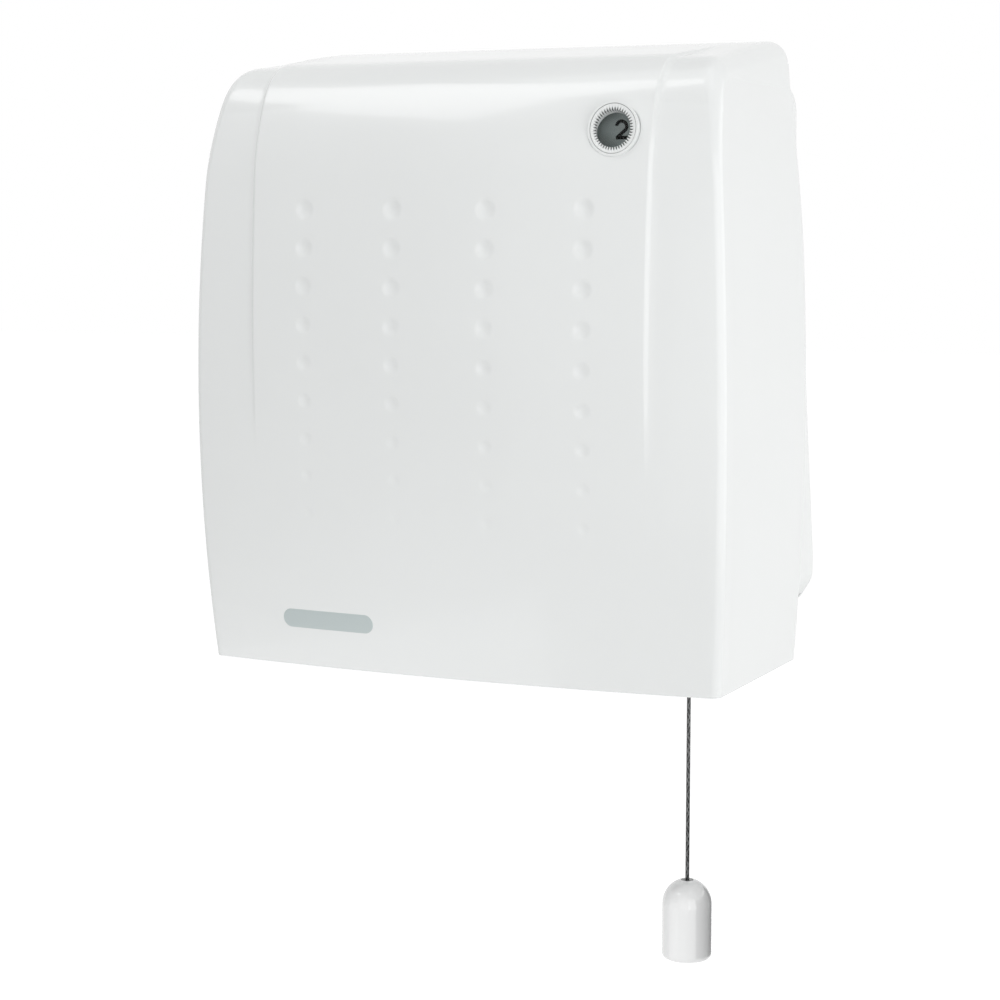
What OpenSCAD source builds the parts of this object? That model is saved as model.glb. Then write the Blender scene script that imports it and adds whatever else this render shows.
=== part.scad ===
// Bathroom wall fan heater with a pull-cord switch.
// Row frame: origin at the centre of the four wall holes, on the wall plane, +Z up, front facing -Y.
// Inside placed(), a piece is drawn in case coordinates: x from the middle, y backwards from a plane
// just behind the front bottom corners, z upwards from the bottom edge.

/* [Case] */
// Width of the cover across its front bottom corners
body_w = 270; // [268:1:276]
// Distance from the front bottom corners to the wall
body_d = 134; // [133:1:136]
// Height of the wall-hole centre above the bottom edge
hole_centre_z = 150; // [148:1:152]
// Wall thickness of the moulded shells
wall_t = 2.5; // [2:0.1:2.8]
// Forward bulge of the front between its corners
crown = 8.4; // [7.5:0.1:9]
// Bulge of the top along its width
crown_top = 0.1; // [0.1:0.1:0.6]
// Sideways bulge of the cover's side walls
barrel = 4.4; // [3.5:0.1:4.6]
// Radius between front and side
corner_r = 4; // [3.5:0.5:6]
// Radius between top and side
top_edge_r = 11; // [10:0.5:13]
// Step of the raised middle panel
panel_step = 1.4; // [0.8:0.1:1.6]
// Half width of the raised middle panel
panel_half = 104.5; // [103:0.5:106]

/* [Window and dial] */
// Window centre, sideways from the middle
window_x = 84.9; // [84.5:0.1:85.3]
// Window centre height above the bottom edge
window_z = 260; // [259:0.5:261]
// Radius of the window's clear opening
window_r = 8.4; // [8:0.1:8.6]
// Outer radius of the window bezel
bezel_r = 12.6; // [12.2:0.1:12.8]
// Number of V-shaped flutes round the window
flute_count = 44; // [36:1:48]
// Sideways distance from the window centre to the dial's axis
dial_offset = 16.5; // [16:0.1:17]
// Number of switch steps in a turn
switch_steps = 6; // [6]

/* [Pull cord] */
// Cord diameter
cord_d = 2; // [1.8:0.1:2.2]
// Cord length from its ferrule down into the knob
cord_drop = 384; // [378:1:386]
// Knob diameter
knob_d = 25; // [24:0.5:26]
// Knob height
knob_h = 42.5; // [42:0.5:43]
// Place of the cord, backwards in case coordinates
cord_y = 70; // [69.5:0.5:70.5]

/* [Fan] */
// Impeller diameter
fan_d = 60; // [56:1:62]
// Number of impeller blades
fan_blades = 24; // [18:1:26]
// Impeller length
fan_len = 150; // [148:2:150]

/* [Hidden] */
$fn = 48;

// Colours
shell_white = [0.93, 0.94, 0.94];
dark_grey = [0.28, 0.29, 0.3];
steel = [0.72, 0.73, 0.75];
zinc = [0.62, 0.64, 0.66];
brass_yellow = [0.78, 0.63, 0.3];
copper = [0.72, 0.42, 0.24];
mica = [0.78, 0.74, 0.64];
black_plastic = [0.12, 0.12, 0.13];

// Cover profile in the middle plane: three arcs from the bottom edge up and over, then a straight top.
// The front bottom corners stand corner_out ahead of the plane y = 0, and the wall is at wall_y.
corner_out = 3;
wall_y = body_d - corner_out;
lean_bottom = -7.2;
lean_front = 4.6;
lean_brow = 25;
lean_top = 83;
front_r = 1165;
brow_r = 100;
top_r = 36;
rim_y = 105;
lip_w = 14;
lip_t = 2.5;
barrel_z = 120;
front_steps = 16;
brow_steps = 6;
top_steps = 8;
roof_steps = 2;
fillet_steps = 4;
middle_steps = 12;
fade_low = 95;
fade_high = 170;
crease_w = 2.5;

function arc_end(p, r, a, b) = p + r * [cos(a) - cos(b), sin(b) - sin(a)];
front_foot = [-(corner_out + crown), 0];
front_top = arc_end(front_foot, front_r, lean_bottom, lean_front);
brow_top = arc_end(front_top, brow_r, lean_front, lean_brow);
roof_front = arc_end(brow_top, top_r, lean_brow, lean_top);
roof_len = (rim_y - 1 - roof_front[0]) / sin(lean_top);
lean_lip = asin(sin(lean_bottom) + lip_t / front_r);

// Stations along the profile, each [y, z, lean]
stations = concat(
    [[front_foot[0], front_foot[1], lean_bottom]],
    [for (i = [0:front_steps])
        let (a = lean_lip + (lean_front - lean_lip) * i / front_steps,
             p = arc_end(front_foot, front_r, lean_bottom, a)) [p[0], p[1], a]],
    [for (i = [1:brow_steps])
        let (a = lean_front + (lean_brow - lean_front) * i / brow_steps,
             p = arc_end(front_top, brow_r, lean_front, a)) [p[0], p[1], a]],
    [for (i = [1:top_steps])
        let (a = lean_brow + (lean_top - lean_brow) * i / top_steps,
             p = arc_end(brow_top, top_r, lean_brow, a)) [p[0], p[1], a]],
    [for (i = [1:roof_steps])
        let (p = roof_front + roof_len * i / roof_steps * [sin(lean_top), cos(lean_top)])
            [p[0], p[1], lean_top]]
);

function clamp01(t) = min(max(t, 0), 1);
function smooth(t) = let (c = clamp01(t)) c * c * (3 - 2 * c);
function half_w(z) = body_w / 2 + barrel * (1 - pow((z - barrel_z) / barrel_z, 2));
function turn_at(lean) = 90 * clamp01((lean - lean_front) / (lean_top - lean_front));

// How far the skin lies behind the middle profile at x, with corner drop, wall inset and panel step
function bulge_at(turn) = crown_top + (crown - crown_top) * pow(cos(turn), 2);
function panel_at(x, z) = panel_step * smooth((z - fade_low) / (fade_high - fade_low))
    * smooth((panel_half - abs(x)) / crease_w);
function skin_drop(x, z, turn) = bulge_at(turn) * pow(x / (body_w / 2), 2) - panel_at(x, z);

// One ring across the cover: rim, side fillet, creases, middle, and the mirror image
function fillet_x(b, r, i) = b + r * cos(90 * i / fillet_steps);
function fillet_back(r, i) = r * (1 - sin(90 * i / fillet_steps));
function ring_x(a, r) = let (b = a - r) concat(
    [for (i = [0:fillet_steps]) [-fillet_x(b, r, i), fillet_back(r, i)]],
    [[-panel_half, 0]],
    [for (i = [0:middle_steps]) [(panel_half - crease_w) * (2 * i / middle_steps - 1), 0]],
    [[panel_half, 0]],
    [for (i = [fillet_steps:-1:0]) [fillet_x(b, r, i), fillet_back(r, i)]]
);
function ring(s, inset) =
    let (turn = turn_at(s[2]),
         a = half_w(s[1]) - inset,
         r = max(corner_r + (top_edge_r - corner_r) * turn / 90 - inset, 0.6),
         pts = [for (q = ring_x(a, r))
             let (d = skin_drop(q[0], s[1], turn) + q[1] + inset)
                 [q[0], s[0] + d * cos(turn), s[1] - d * sin(turn)]])
    concat([[-a, rim_y, pts[0][2]]], pts, [[a, rim_y, pts[len(pts) - 1][2]]]);

module skin_shell() {
    n = len(stations) - 1;
    lip_low = ring(stations[0], lip_w);
    lip_high = [for (p = ring(stations[0], lip_w)) p + [0, 0, lip_t]];
    rows = concat(
        [for (k = [n:-1:0]) ring(stations[k], 0)],
        [lip_low, lip_high],
        [for (k = [1:n]) ring(stations[k], wall_t)]
    );
    m = len(rows[0]);
    total = len(rows);
    function id(r, c) = (r % total) * m + c;
    function outer(k, c) = id(n - k, c);
    function inner(k, c) = id(n + 2 + k, c);
    grid = [for (r = [0:total - 1], c = [0:m - 2])
        each [[id(r, c), id(r + 1, c + 1), id(r + 1, c)], [id(r, c), id(r, c + 1), id(r + 1, c + 1)]]];
    left = [for (k = [1:n - 1])
        each [[outer(k, 0), inner(k, 0), inner(k + 1, 0)], [outer(k, 0), inner(k + 1, 0), outer(k + 1, 0)]]];
    right = [for (k = [1:n - 1])
        each [[outer(k, m - 1), inner(k + 1, m - 1), inner(k, m - 1)],
              [outer(k, m - 1), outer(k + 1, m - 1), inner(k + 1, m - 1)]]];
    foot = [for (f = [[0, n + 1, n + 2], [0, n + 2, n + 3], [0, n + 3, -1]])
        each [
            [id(n, 0), id(f[1], 0), f[2] < 0 ? outer(1, 0) : id(f[2], 0)],
            [id(n, m - 1), f[2] < 0 ? outer(1, m - 1) : id(f[2], m - 1), id(f[1], m - 1)]]];
    polyhedron(points = [for (row = rows) each row], faces = concat(grid, left, right, foot), convexity = 8);
}

module placed() {
    translate([0, -wall_y, -hole_centre_z]) children();
}

// Runs of material along Y and X, from a low to a high coordinate
module along_y(y0, y1) {
    translate([0, y1, 0]) rotate([90, 0, 0]) linear_extrude(y1 - y0) children();
}
module along_x(x0, x1) {
    translate([x0, 0, 0]) rotate([90, 0, 90]) linear_extrude(x1 - x0) children();
}
module rod_y(x, z, r, y0, y1) {
    translate([x, y1, z]) rotate([90, 0, 0]) cylinder(h = y1 - y0, r = r);
}
module rod_x(y, z, r, x0, x1) {
    translate([x0, y, z]) rotate([0, 90, 0]) cylinder(h = x1 - x0, r = r);
}
module block(low, high) {
    translate(low) cube(high - low);
}

// Height and depth of the skin on the front, below the brow
function lean_at(z) = z < front_top[1] ? asin(sin(lean_bottom) + z / front_r)
    : asin(sin(lean_front) + (z - front_top[1]) / brow_r);
function profile_y(z) = z < front_top[1] ? front_foot[0] + front_r * (cos(lean_bottom) - cos(lean_at(z)))
    : front_top[0] + brow_r * (cos(lean_front) - cos(lean_at(z)));
function skin_y(x, z) = profile_y(z) + skin_drop(x, z, turn_at(lean_at(z)));

// Dimples: four columns of nine, shallower towards the bottom
dimple_cols = 4;
dimple_rows = 9;
dimple_x0 = -73.2;
dimple_pitch_x = 48.6;
dimple_z0 = 77;
dimple_pitch_z = 18.4;
dimple_ball_r = 10;
dimple_deep = 1.1;
dimple_shallow = 0.35;

// Window frame, tilted with the skin: a fluted flange in a recess, and a barrel through the cover
window_lean = lean_at(window_z);
window_yaw = atan(2 * crown * window_x / pow(body_w / 2, 2));
window_y = skin_y(window_x, window_z);
bezel_seat = 0.9;
bezel_barrel_r = 10.2;
bezel_bore_r = 9.3;
bezel_depth = 4;
bezel_crest = 0.5;
bezel_rim_r = 11.2;
flange_top = 0.35;
flange_under = -1.1;
flute_fall = 48;
flute_half_angle = 12.7;
flute_cut = 4;
lens_t = 1.5;
lens_dome = 0.7;

module at_window() {
    translate([window_x, window_y, window_z]) rotate([0, 0, window_yaw])
        rotate([90 - window_lean, 0, 0]) children();
}

// Cover fixing
cover_screw_x = 126.5;
cover_screw_y = 55;
screw_r = 1.5;
hook_x = 60;
hook_w = 16;
hook_t = 3;
hook_y = 92;
hook_low = 294;
hook_high = 302.5;
catch_y = hook_y - hook_t - 1;
catch_high = 299;

module front_cover() color(shell_white) placed() {
    difference() {
        union() {
            skin_shell();
            for (s = [-1, 1]) translate([s * hook_x, 0, 0])
                block([-hook_w / 2, hook_y, hook_low], [hook_w / 2, hook_y + hook_t, hook_high]);
        }
        for (c = [0:dimple_cols - 1], r = [0:dimple_rows - 1]) {
            x = dimple_x0 + dimple_pitch_x * c;
            z = dimple_z0 + dimple_pitch_z * r;
            depth = dimple_shallow + (dimple_deep - dimple_shallow) * r / (dimple_rows - 1);
            translate([x, skin_y(x, z) - dimple_ball_r + depth, z]) sphere(r = dimple_ball_r);
        }
        at_window() {
            translate([0, 0, -12]) cylinder(h = 24, r = bezel_barrel_r + 0.1);
            translate([0, 0, -bezel_seat]) cylinder(h = 6, r = bezel_r + 0.1);
        }
        for (s = [-1, 1]) translate([s * cover_screw_x, cover_screw_y, -1])
            cylinder(h = 5, r = screw_r + 0.3);
    }
}

module window_bezel() color(shell_white) placed() at_window() {
    difference() {
        rotate_extrude() polygon([
            [window_r, flange_under], [bezel_bore_r, flange_under], [bezel_bore_r, -bezel_depth],
            [bezel_barrel_r, -bezel_depth], [bezel_barrel_r, -bezel_seat], [bezel_r, -bezel_seat],
            [bezel_r, bezel_crest - 0.3], [bezel_r - 0.3, bezel_crest], [bezel_rim_r + 0.15, bezel_crest],
            [bezel_rim_r, flange_top], [window_r, flange_top]
        ]);
        for (i = [0:flute_count - 1]) rotate(i * 360 / flute_count) flute();
    }
}

// A V-shaped cut that starts just above the rim of the flange and falls inwards
module flute() {
    half = flute_cut * tan(flute_half_angle);
    translate([bezel_rim_r, 0, bezel_crest + 0.1]) rotate([0, -flute_fall, 0]) rotate([90, 0, -90])
        linear_extrude(flute_cut) polygon([[0, 0], [half, flute_cut], [-half, flute_cut]]);
}

// Slightly domed disc, pressed into the barrel from behind
module window_lens() color([0.9, 0.95, 0.97, 0.5]) placed() at_window() {
    dome_r = (pow(window_r, 2) + pow(lens_dome, 2)) / (2 * lens_dome);
    rotate_extrude() polygon(concat(
        [[0, flange_under - lens_t], [bezel_bore_r, flange_under - lens_t], [bezel_bore_r, flange_under]],
        arc_pts([0, flange_under + lens_dome - dome_r], dome_r, 90 - asin(window_r / dome_r), 90, 4)));
}

// Back shell: tray, flared skirt with side scoops, floor and posts
tray_half = 125;
tray_top = 293;
tray_front = 70;
skirt_front = 109;
back_t = 3;
foot_r = 5;
head_r = 20;
scoop_half = 137;
scoop_low_z = 24;
scoop_r = 12;
scoop_bend = 35;
scoop_z = 51;
scoop_end_z = 224;
scoop_end_half = 127;
duct_x0 = -94;
duct_x1 = 60;
outlet_y0 = 40;
outlet_y1 = 102;
floor_z = 2.5;
floor_t = 2.5;
wall_hole_x = 90;
wall_hole_z = 100;
wall_hole_r = 2.6;
cable_x = 100;
cable_z = 32;
post_spots = [[41, 278], [41, 240], [78, 234]];
post_y = 52.5;
duct_ear_spots = [[-102, 62], [-102, 214], [68, 62], [68, 214]];
ear_post_y = 117.2;
clamp_x = [84, 116];
clamp_z = 46;
clamp_y = 116;
hole_deep = 10;
slot_count = 14;
slot_pitch = 15;
slot_z0 = 66;
slot_y = 89;
slot_size = [8, 26, 7];

function arc_pts(c, r, a0, a1, n) = [for (i = [0:n])
    let (a = a0 + (a1 - a0) * i / n) c + r * [cos(a), sin(a)]];
function mirrored(pts) = concat(pts, [for (i = [len(pts) - 1:-1:0]) [-pts[i][0], pts[i][1]]]);

// Half outlines in X and Z, from the bottom up, drawn in by an inset
function foot_corner(g) = arc_pts([tray_half - foot_r, floor_z + foot_r], foot_r - g, -90, 0, 4);
function head_corner(g) = arc_pts([tray_half - head_r, tray_top - head_r], head_r - g, 0, 90, 8);
function tray_half_outline(g) = concat(foot_corner(g), head_corner(g));
function skirt_half_outline(g) = concat(
    foot_corner(g),
    [[tray_half - g, scoop_low_z], [scoop_half - scoop_r / 2 - g, scoop_low_z + foot_r + g / 2]],
    arc_pts([scoop_half - scoop_r, scoop_z - scoop_r * 3 / 4], scoop_r - g, -scoop_bend, 0, 4),
    [[scoop_half - g, scoop_z], [scoop_end_half - g, scoop_end_z], [tray_half - g, scoop_end_z + 30]],
    head_corner(g));

module tray_ring(g0, g1) {
    difference() {
        polygon(mirrored(tray_half_outline(g0)));
        polygon(mirrored(tray_half_outline(g1)));
    }
}

// Plan outline of the floor, just inside the cover
floor_plan = let (r = ring(stations[1], wall_t + 0.6)) concat([for (p = r) [p[0], min(p[1], rim_y - 0.5)]]);

module back_shell() color(shell_white) placed() {
    difference() {
        union() {
            along_y(wall_y - back_t, wall_y) polygon(mirrored(skirt_half_outline(0)));
            along_y(skirt_front, wall_y) difference() {
                polygon(mirrored(skirt_half_outline(0)));
                polygon(mirrored(skirt_half_outline(wall_t)));
            }
            along_y(skirt_front, skirt_front + wall_t) difference() {
                polygon(mirrored(skirt_half_outline(0)));
                polygon(mirrored(tray_half_outline(wall_t)));
            }
            along_y(tray_front, skirt_front + 1) tray_ring(0, wall_t);
            translate([0, 0, floor_z]) linear_extrude(floor_t) polygon(floor_plan);
            for (s = [-1, 1]) {
                translate([s * cover_screw_x, cover_screw_y, floor_z]) cylinder(h = 12, r = 3.6);
                translate([s * hook_x, 0, 0]) block(
                    [2 - hook_w / 2, catch_y, tray_top - 1], [hook_w / 2 - 2, catch_y + hook_t, catch_high]);
            }
            for (q = post_spots) rod_y(q[0], q[1], 4, post_y, wall_y - 1);
            for (q = duct_ear_spots) rod_y(q[0], q[1], 5, ear_post_y, wall_y - 1);
            for (x = clamp_x) rod_y(x, clamp_z, 3.5, clamp_y, wall_y - 1);
        }
        translate([duct_x0, outlet_y0, -1]) cube([duct_x1 - duct_x0, outlet_y1 - outlet_y0, 8]);
        translate([cord_x, cord_y, -1]) cylinder(h = 8, r = 5);
        for (s = [-1, 1]) translate([s * cover_screw_x, cover_screw_y, 1]) cylinder(h = 12, r = screw_r);
        for (x = [-wall_hole_x, wall_hole_x], z = [hole_centre_z - wall_hole_z, hole_centre_z + wall_hole_z])
            rod_y(x, z, wall_hole_r, wall_y - 5, wall_y + 1);
        rod_y(cable_x, cable_z, 6, wall_y - 5, wall_y + 1);
        for (q = post_spots) rod_y(q[0], q[1], screw_r, post_y - 1, post_y + hole_deep);
        for (q = duct_ear_spots) rod_y(q[0], q[1], screw_r, ear_post_y - 1, ear_post_y + hole_deep);
        for (x = clamp_x) rod_y(x, clamp_z, screw_r, clamp_y - 1, clamp_y + hole_deep);
        for (s = [-1, 1]) {
            for (i = [0:slot_count - 1])
                translate([s * (tray_half - 1), slot_y, slot_z0 + slot_pitch * i])
                    cube(slot_size, center = true);
            translate([s * (scoop_half - 8), (skirt_front + wall_y) / 2, scoop_low_z + 1])
                cube([8, 14, 12], center = true);
        }
    }
}

// Louvred outlet: a frame with a flange over the floor, slanted slats and cross ribs
grille_gap = 0.3;
grille_wall = 2;
grille_low = 1;
grille_high = 7;
grille_flange = 3;
slat_count = 9;
slat_pitch = 6.4;
slat_slant = 2;
slat_t = 1.3;
rib_bays = 5;
module outlet_grille() color(dark_grey) placed() {
    x0 = duct_x0 + grille_gap;
    x1 = duct_x1 - grille_gap;
    y0 = outlet_y0 + grille_gap;
    y1 = outlet_y1 - grille_gap;
    difference() {
        union() {
            block([x0, y0, grille_low], [x1, y1, grille_high]);
            block([x0 - grille_flange, y0 - grille_flange, floor_z + floor_t],
                [x1 + grille_flange, y1 + grille_flange, grille_high]);
        }
        block([x0 + grille_wall, y0 + grille_wall, 0], [x1 - grille_wall, y1 - grille_wall, grille_high + 1]);
    }
    for (i = [0:slat_count - 1]) along_x(x0 + 1, x1 - 1) translate([y0 + 5 + slat_pitch * i, 1.2])
        polygon([[0, 0], [slat_t, 0], [slat_t - slat_slant, 5.6], [-slat_slant, 5.6]]);
    for (i = [1:rib_bays - 1]) translate([x0 + (x1 - x0) * i / rib_bays, 0, 0])
        block([-0.8, y0 + 1, 2], [0.8, y1 - 1, 5.5]);
}

// Switch mechanism: everything turns about one axis along Y
dial_x = window_x - dial_offset;
dial_z = window_z;
dial_r = dial_offset + 3.5;
shaft_r = 3;
lever_l = 25;
lever_up = 30;
run_gap = 0.05;
cord_x = dial_x + lever_l;
cord_top_z = dial_z + lever_l * tan(lever_up);
cheek_t = 2;
cheek_front = cord_y - 4.8;
cheek_rear = cord_y + 2.8;
eye_pin_r = 1.3;
eye_slack = 0.65;
eye_in = lever_l - 0.3;
eye_out = lever_l / cos(lever_up) + 0.3;
ratchet_y0 = 53.5;
ratchet_y1 = 58.5;
ratchet_tip_r = 12;
ratchet_root_r = 9.5;
pawl_reach = 17;
pawl_back = 35;

spring_turns = 3 + 1 / 3;
spring_r = 7;
spring_wire_r = 0.4;
spring_pitch = 1.25;
spring_y = 60.5;
spring_peg_x = 12;
spring_peg_z = spring_r - spring_wire_r - 1.2;
spring_post_r = 2;
spring_post_z = 11;
module at_dial() { translate([dial_x, 0, dial_z]) children(); }

module cord_guide() color(shell_white) placed() translate([cord_x, cord_y, 0]) {
    rotate_extrude() polygon([
        [1.5, 0.6], [2.6, 0], [7, 0], [7.5, 0.6], [7.5, floor_z], [4.9, floor_z], [4.9, floor_z + floor_t],
        [5.8, floor_z + floor_t], [5.2, 9], [2.4, 9], [1.5, 8]
    ]);
}

module pull_cord() color(dark_grey) placed() {
    translate([cord_x, cord_y, cord_top_z - 2 - cord_drop]) cylinder(h = cord_drop, r = cord_d / 2);
}

knob_top_z = cord_top_z - 2 - cord_drop + 5;
module pull_knob() color(shell_white) placed() translate([cord_x, cord_y, knob_top_z]) {
    r = knob_d / 2;
    difference() {
        rotate_extrude() polygon(concat(
            [[0, -knob_h], [r - 2.2, -knob_h]],
            arc_pts([r - 2.4, -knob_h + 2.4], 2.4, -90, 0, 4),
            arc_pts([0.4, -r * 1.02], r - 0.4, 0, 74, 9),
            [[3.3, -0.1], [3, 0], [0, 0]]));
        translate([0, 0, -5]) cylinder(h = 6, r = cord_d / 2);
        rotate_extrude() polygon([[0, 1], [2.9, 1], [2.9, -0.3], [cord_d / 2, -3], [0, -3]]);
    }
}

module cord_ferrule() color(steel) placed() translate([cord_x, cord_y, cord_top_z]) {
    difference() {
        union() {
            translate([0, 0, -5]) cylinder(h = 8, r = 2.2);
            rotate([90, 0, 0]) cylinder(h = 9, r = eye_pin_r, center = true);
        }
        translate([0, 0, -6]) cylinder(h = 4, r = cord_d / 2);
    }
}

// One cheek of the lever, flat, with its arm along +X
module cheek_outline() {
    difference() {
        union() {
            circle(r = 6);
            polygon([[0, -6], [eye_out, -4.2], [eye_out, 4.2], [0, 6]]);
            translate([eye_out, 0]) circle(r = 4.2);
            translate([spring_peg_x, -spring_peg_z]) circle(r = 2);
        }
        translate([eye_in, -eye_pin_r - eye_slack]) square([eye_out - eye_in, 2 * (eye_pin_r + eye_slack)]);
        for (x = [eye_in, eye_out]) translate([x, 0]) circle(r = eye_pin_r + eye_slack);
        translate([pawl_reach, 0]) circle(r = 1.2);
    }
}

module pull_lever() color(zinc) placed() at_dial() {
    difference() {
        union() {
            rod_y(0, 0, 5.5, 60, cheek_rear + cheek_t);
            rotate([0, -lever_up, 0]) {
                along_y(cheek_front, cheek_front + cheek_t) cheek_outline();
                along_y(cheek_rear, cheek_rear + cheek_t) cheek_outline();
                block([4.5, cheek_front, -5], [9, cheek_rear + 1, 5]);
                rod_y(spring_peg_x, -spring_peg_z, 1.2, cheek_front - 4.2, cheek_front + 1);
            }
        }
        rod_y(0, 0, shaft_r + run_gap, 55, 80);
    }
}

module pawl_pin() color(steel) placed() at_dial() rotate([0, -lever_up, 0]) {
    rod_y(pawl_reach, 0, 1.2, ratchet_y0 - 0.2, cheek_front + cheek_t);
    rod_y(pawl_reach, 0, 2, 59.2, cheek_front);
}

function polar(r, a) = r * [cos(a), sin(a)];
module pawl() color(steel) placed() at_dial() rotate([0, -lever_up, 0]) {
    y0 = ratchet_y0 + 0.3;
    difference() {
        union() {
            rod_y(pawl_reach, 0, 3, y0, ratchet_y1);
            along_y(y0, ratchet_y1) polygon([
                polar(12.6, -pawl_back), polar(9.9, -pawl_back),
                [pawl_reach - 2.8, -1], [pawl_reach + 2, -2.2]
            ]);
        }
        rod_y(pawl_reach, 0, 1.2, y0 - 1, ratchet_y1 + 1);
    }
}

module ratchet_wheel() color(brass_yellow) placed() at_dial() {
    first = lever_up - pawl_back - 0.6;
    pitch = 360 / switch_steps;
    ramp = 6;
    rise = ratchet_tip_r - ratchet_root_r;
    difference() {
        union() {
            along_y(ratchet_y0, ratchet_y1) polygon([for (k = [0:switch_steps - 1], i = [0:ramp])
                polar(ratchet_root_r + rise * i / ramp, first + pitch * (k + i / ramp))]);
            rod_y(0, 0, 5, ratchet_y1, 59.5);
        }
        rod_y(0, 0, shaft_r, 50, 62);
    }
}

module dial_shaft() color(steel) placed() at_dial() {
    rod_y(0, 0, shaft_r, 3.5, 77);
    rod_y(0, 0, shaft_r + 1.2, cheek_rear + cheek_t + 0.3, cheek_rear + cheek_t + 1.3);
}

dial_front = -0.5;
dial_t = 2;
module dial_disc() color(dark_grey) placed() at_dial() {
    difference() {
        union() {
            rod_y(0, 0, dial_r, dial_front, dial_front + dial_t);
            rod_y(0, 0, 6, dial_front, 13);
            for (i = [0:5]) rotate([0, i * 60, 0])
                block([5, dial_front + dial_t - 0.5, -0.6], [dial_r - 2, 8, 0.6]);
        }
        rod_y(0, 0, shaft_r, 3.5, 15);
    }
}

housing_y0 = 20;
housing_y1 = 50;
housing_x0 = -21;
housing_x1 = 20;
housing_half_z = 19;
lid_t = 2.5;
ear_r = 4.5;
ear_t = 4;
blade_y = [30, 37];
blade_w = 3;
cam_hex_r = 8.5;
module switch_cam() color(shell_white) placed() at_dial() {
    difference() {
        union() {
            along_y(24, 29) circle(r = cam_hex_r, $fn = 6);
            along_y(29, 34) difference() {
                circle(r = 9);
                for (a = [0, 180]) rotate(a) translate([9, 0]) circle(r = 3);
            }
            along_y(34, 36) circle(r = 6);
            along_y(36, 41) difference() {
                circle(r = 9);
                for (a = [60, 120, 240, 300]) rotate(a) translate([9, 0]) circle(r = 3);
            }
        }
        rod_y(0, 0, shaft_r, 20, 45);
    }
}

// Ears that carry the switch on its three posts
module switch_ears(y0, y1) {
    for (q = post_spots) {
        x = q[0] - dial_x;
        z = q[1] - dial_z;
        rod_y(x, z, ear_r, y0, y1);
        low = max(z - ear_r + 1, -housing_half_z);
        high = min(z + ear_r, housing_half_z);
        if (x < housing_x0) block([x, y0, low], [housing_x0 + 1, y1, high]);
        else block([x - ear_r, y0, z], [x + ear_r, y1, 1 - housing_half_z]);
    }
}

module switch_housing() color(black_plastic) placed() at_dial() {
    difference() {
        union() {
            block([housing_x0, housing_y0, -housing_half_z], [housing_x1, housing_y1, housing_half_z]);
            switch_ears(housing_y1 - ear_t, housing_y1);
        }
        block([housing_x0 + 2, housing_y0 + 2.4, 2 - housing_half_z],
            [housing_x1 - 2, housing_y1 + 1, housing_half_z - 2]);
        rod_y(0, 0, shaft_r + run_gap, 15, 30);
        for (q = post_spots) rod_y(q[0] - dial_x, q[1] - dial_z, screw_r + 0.2, 40, 55);
        for (x = [-19, 12], y = blade_y) block([x, y, -20], [x + 1, y + blade_w, -16]);
    }
}

module switch_lid() color(shell_white) placed() at_dial() {
    difference() {
        union() {
            block([housing_x0, housing_y1, -housing_half_z],
                [housing_x1, housing_y1 + lid_t, housing_half_z]);
            switch_ears(housing_y1, housing_y1 + lid_t);
            rod_y(-spring_r - spring_wire_r - spring_post_r, spring_post_z, spring_post_r, 52, 63);
        }
        rod_y(0, 0, shaft_r + run_gap, 45, 55);
        for (q = post_spots) rod_y(q[0] - dial_x, q[1] - dial_z, screw_r + 0.2, 45, 55);
    }
}

// Leaf spring on the cam's hexagon, with both ends turned up and in against the housing's roof
leaf_y = [25, 28];
leaf_half = 17.5;
leaf_top = housing_half_z - 2;
leaf_t = 0.5;
leaf_foot = 3.6;
module detent_spring() color(steel) placed() at_dial() {
    flat_z = cam_hex_r * cos(30) + 0.1;
    difference() {
        block([-leaf_half, leaf_y[0], flat_z], [leaf_half, leaf_y[1], leaf_top]);
        block([leaf_t - leaf_half, leaf_y[0] - 1, flat_z + leaf_t],
            [leaf_half - leaf_t, leaf_y[1] + 1, leaf_top - leaf_t]);
        block([leaf_foot - leaf_half, leaf_y[0] - 1, flat_z + 1],
            [leaf_half - leaf_foot, leaf_y[1] + 1, leaf_top + 1]);
    }
}

module contact_blades() color(brass_yellow) placed() at_dial() {
    for (y = blade_y) {
        block([-18.5, y, -12.6], [8, y + blade_w, -12]);
        block([-19, y, -24], [-18, y + blade_w, -12]);
        block([12, y, -24], [13, y + blade_w, -15.4]);
        block([-3, y, -16], [12.5, y + blade_w, -15.4]);
        translate([0, y + blade_w / 2, -15.5]) cylinder(h = 1.5, r = 1.2);
        translate([0, y + blade_w / 2, -13.6]) cylinder(h = 1.2, r = 1.2);
    }
}

// A tube of n sides along a path of points, closed at both ends
function unit(v) = v / norm(v);
function tangent(p, i) = unit(p[min(i + 1, len(p) - 1)] - p[max(i - 1, 0)]);
module tube(path, r, sides, up) {
    rings = [for (i = [0:len(path) - 1])
        let (t = tangent(path, i), u = unit(cross(up, t)), v = cross(t, u))
            each [for (k = [0:sides - 1]) let (a = 360 * k / sides) path[i] + r * (cos(a) * u + sin(a) * v)]];
    n = len(path);
    walls = [for (i = [0:n - 2], k = [0:sides - 1]) let (a = i * sides + k, b = i * sides + (k + 1) % sides)
        each [[a, a + sides, b], [b, a + sides, b + sides]]];
    caps = concat(
        [for (k = [1:sides - 2]) [0, k, k + 1]],
        [for (k = [1:sides - 2]) let (e = (n - 1) * sides) [e, e + k + 1, e + k]]);
    polyhedron(points = rings, faces = concat(walls, caps), convexity = 10);
}

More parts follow.
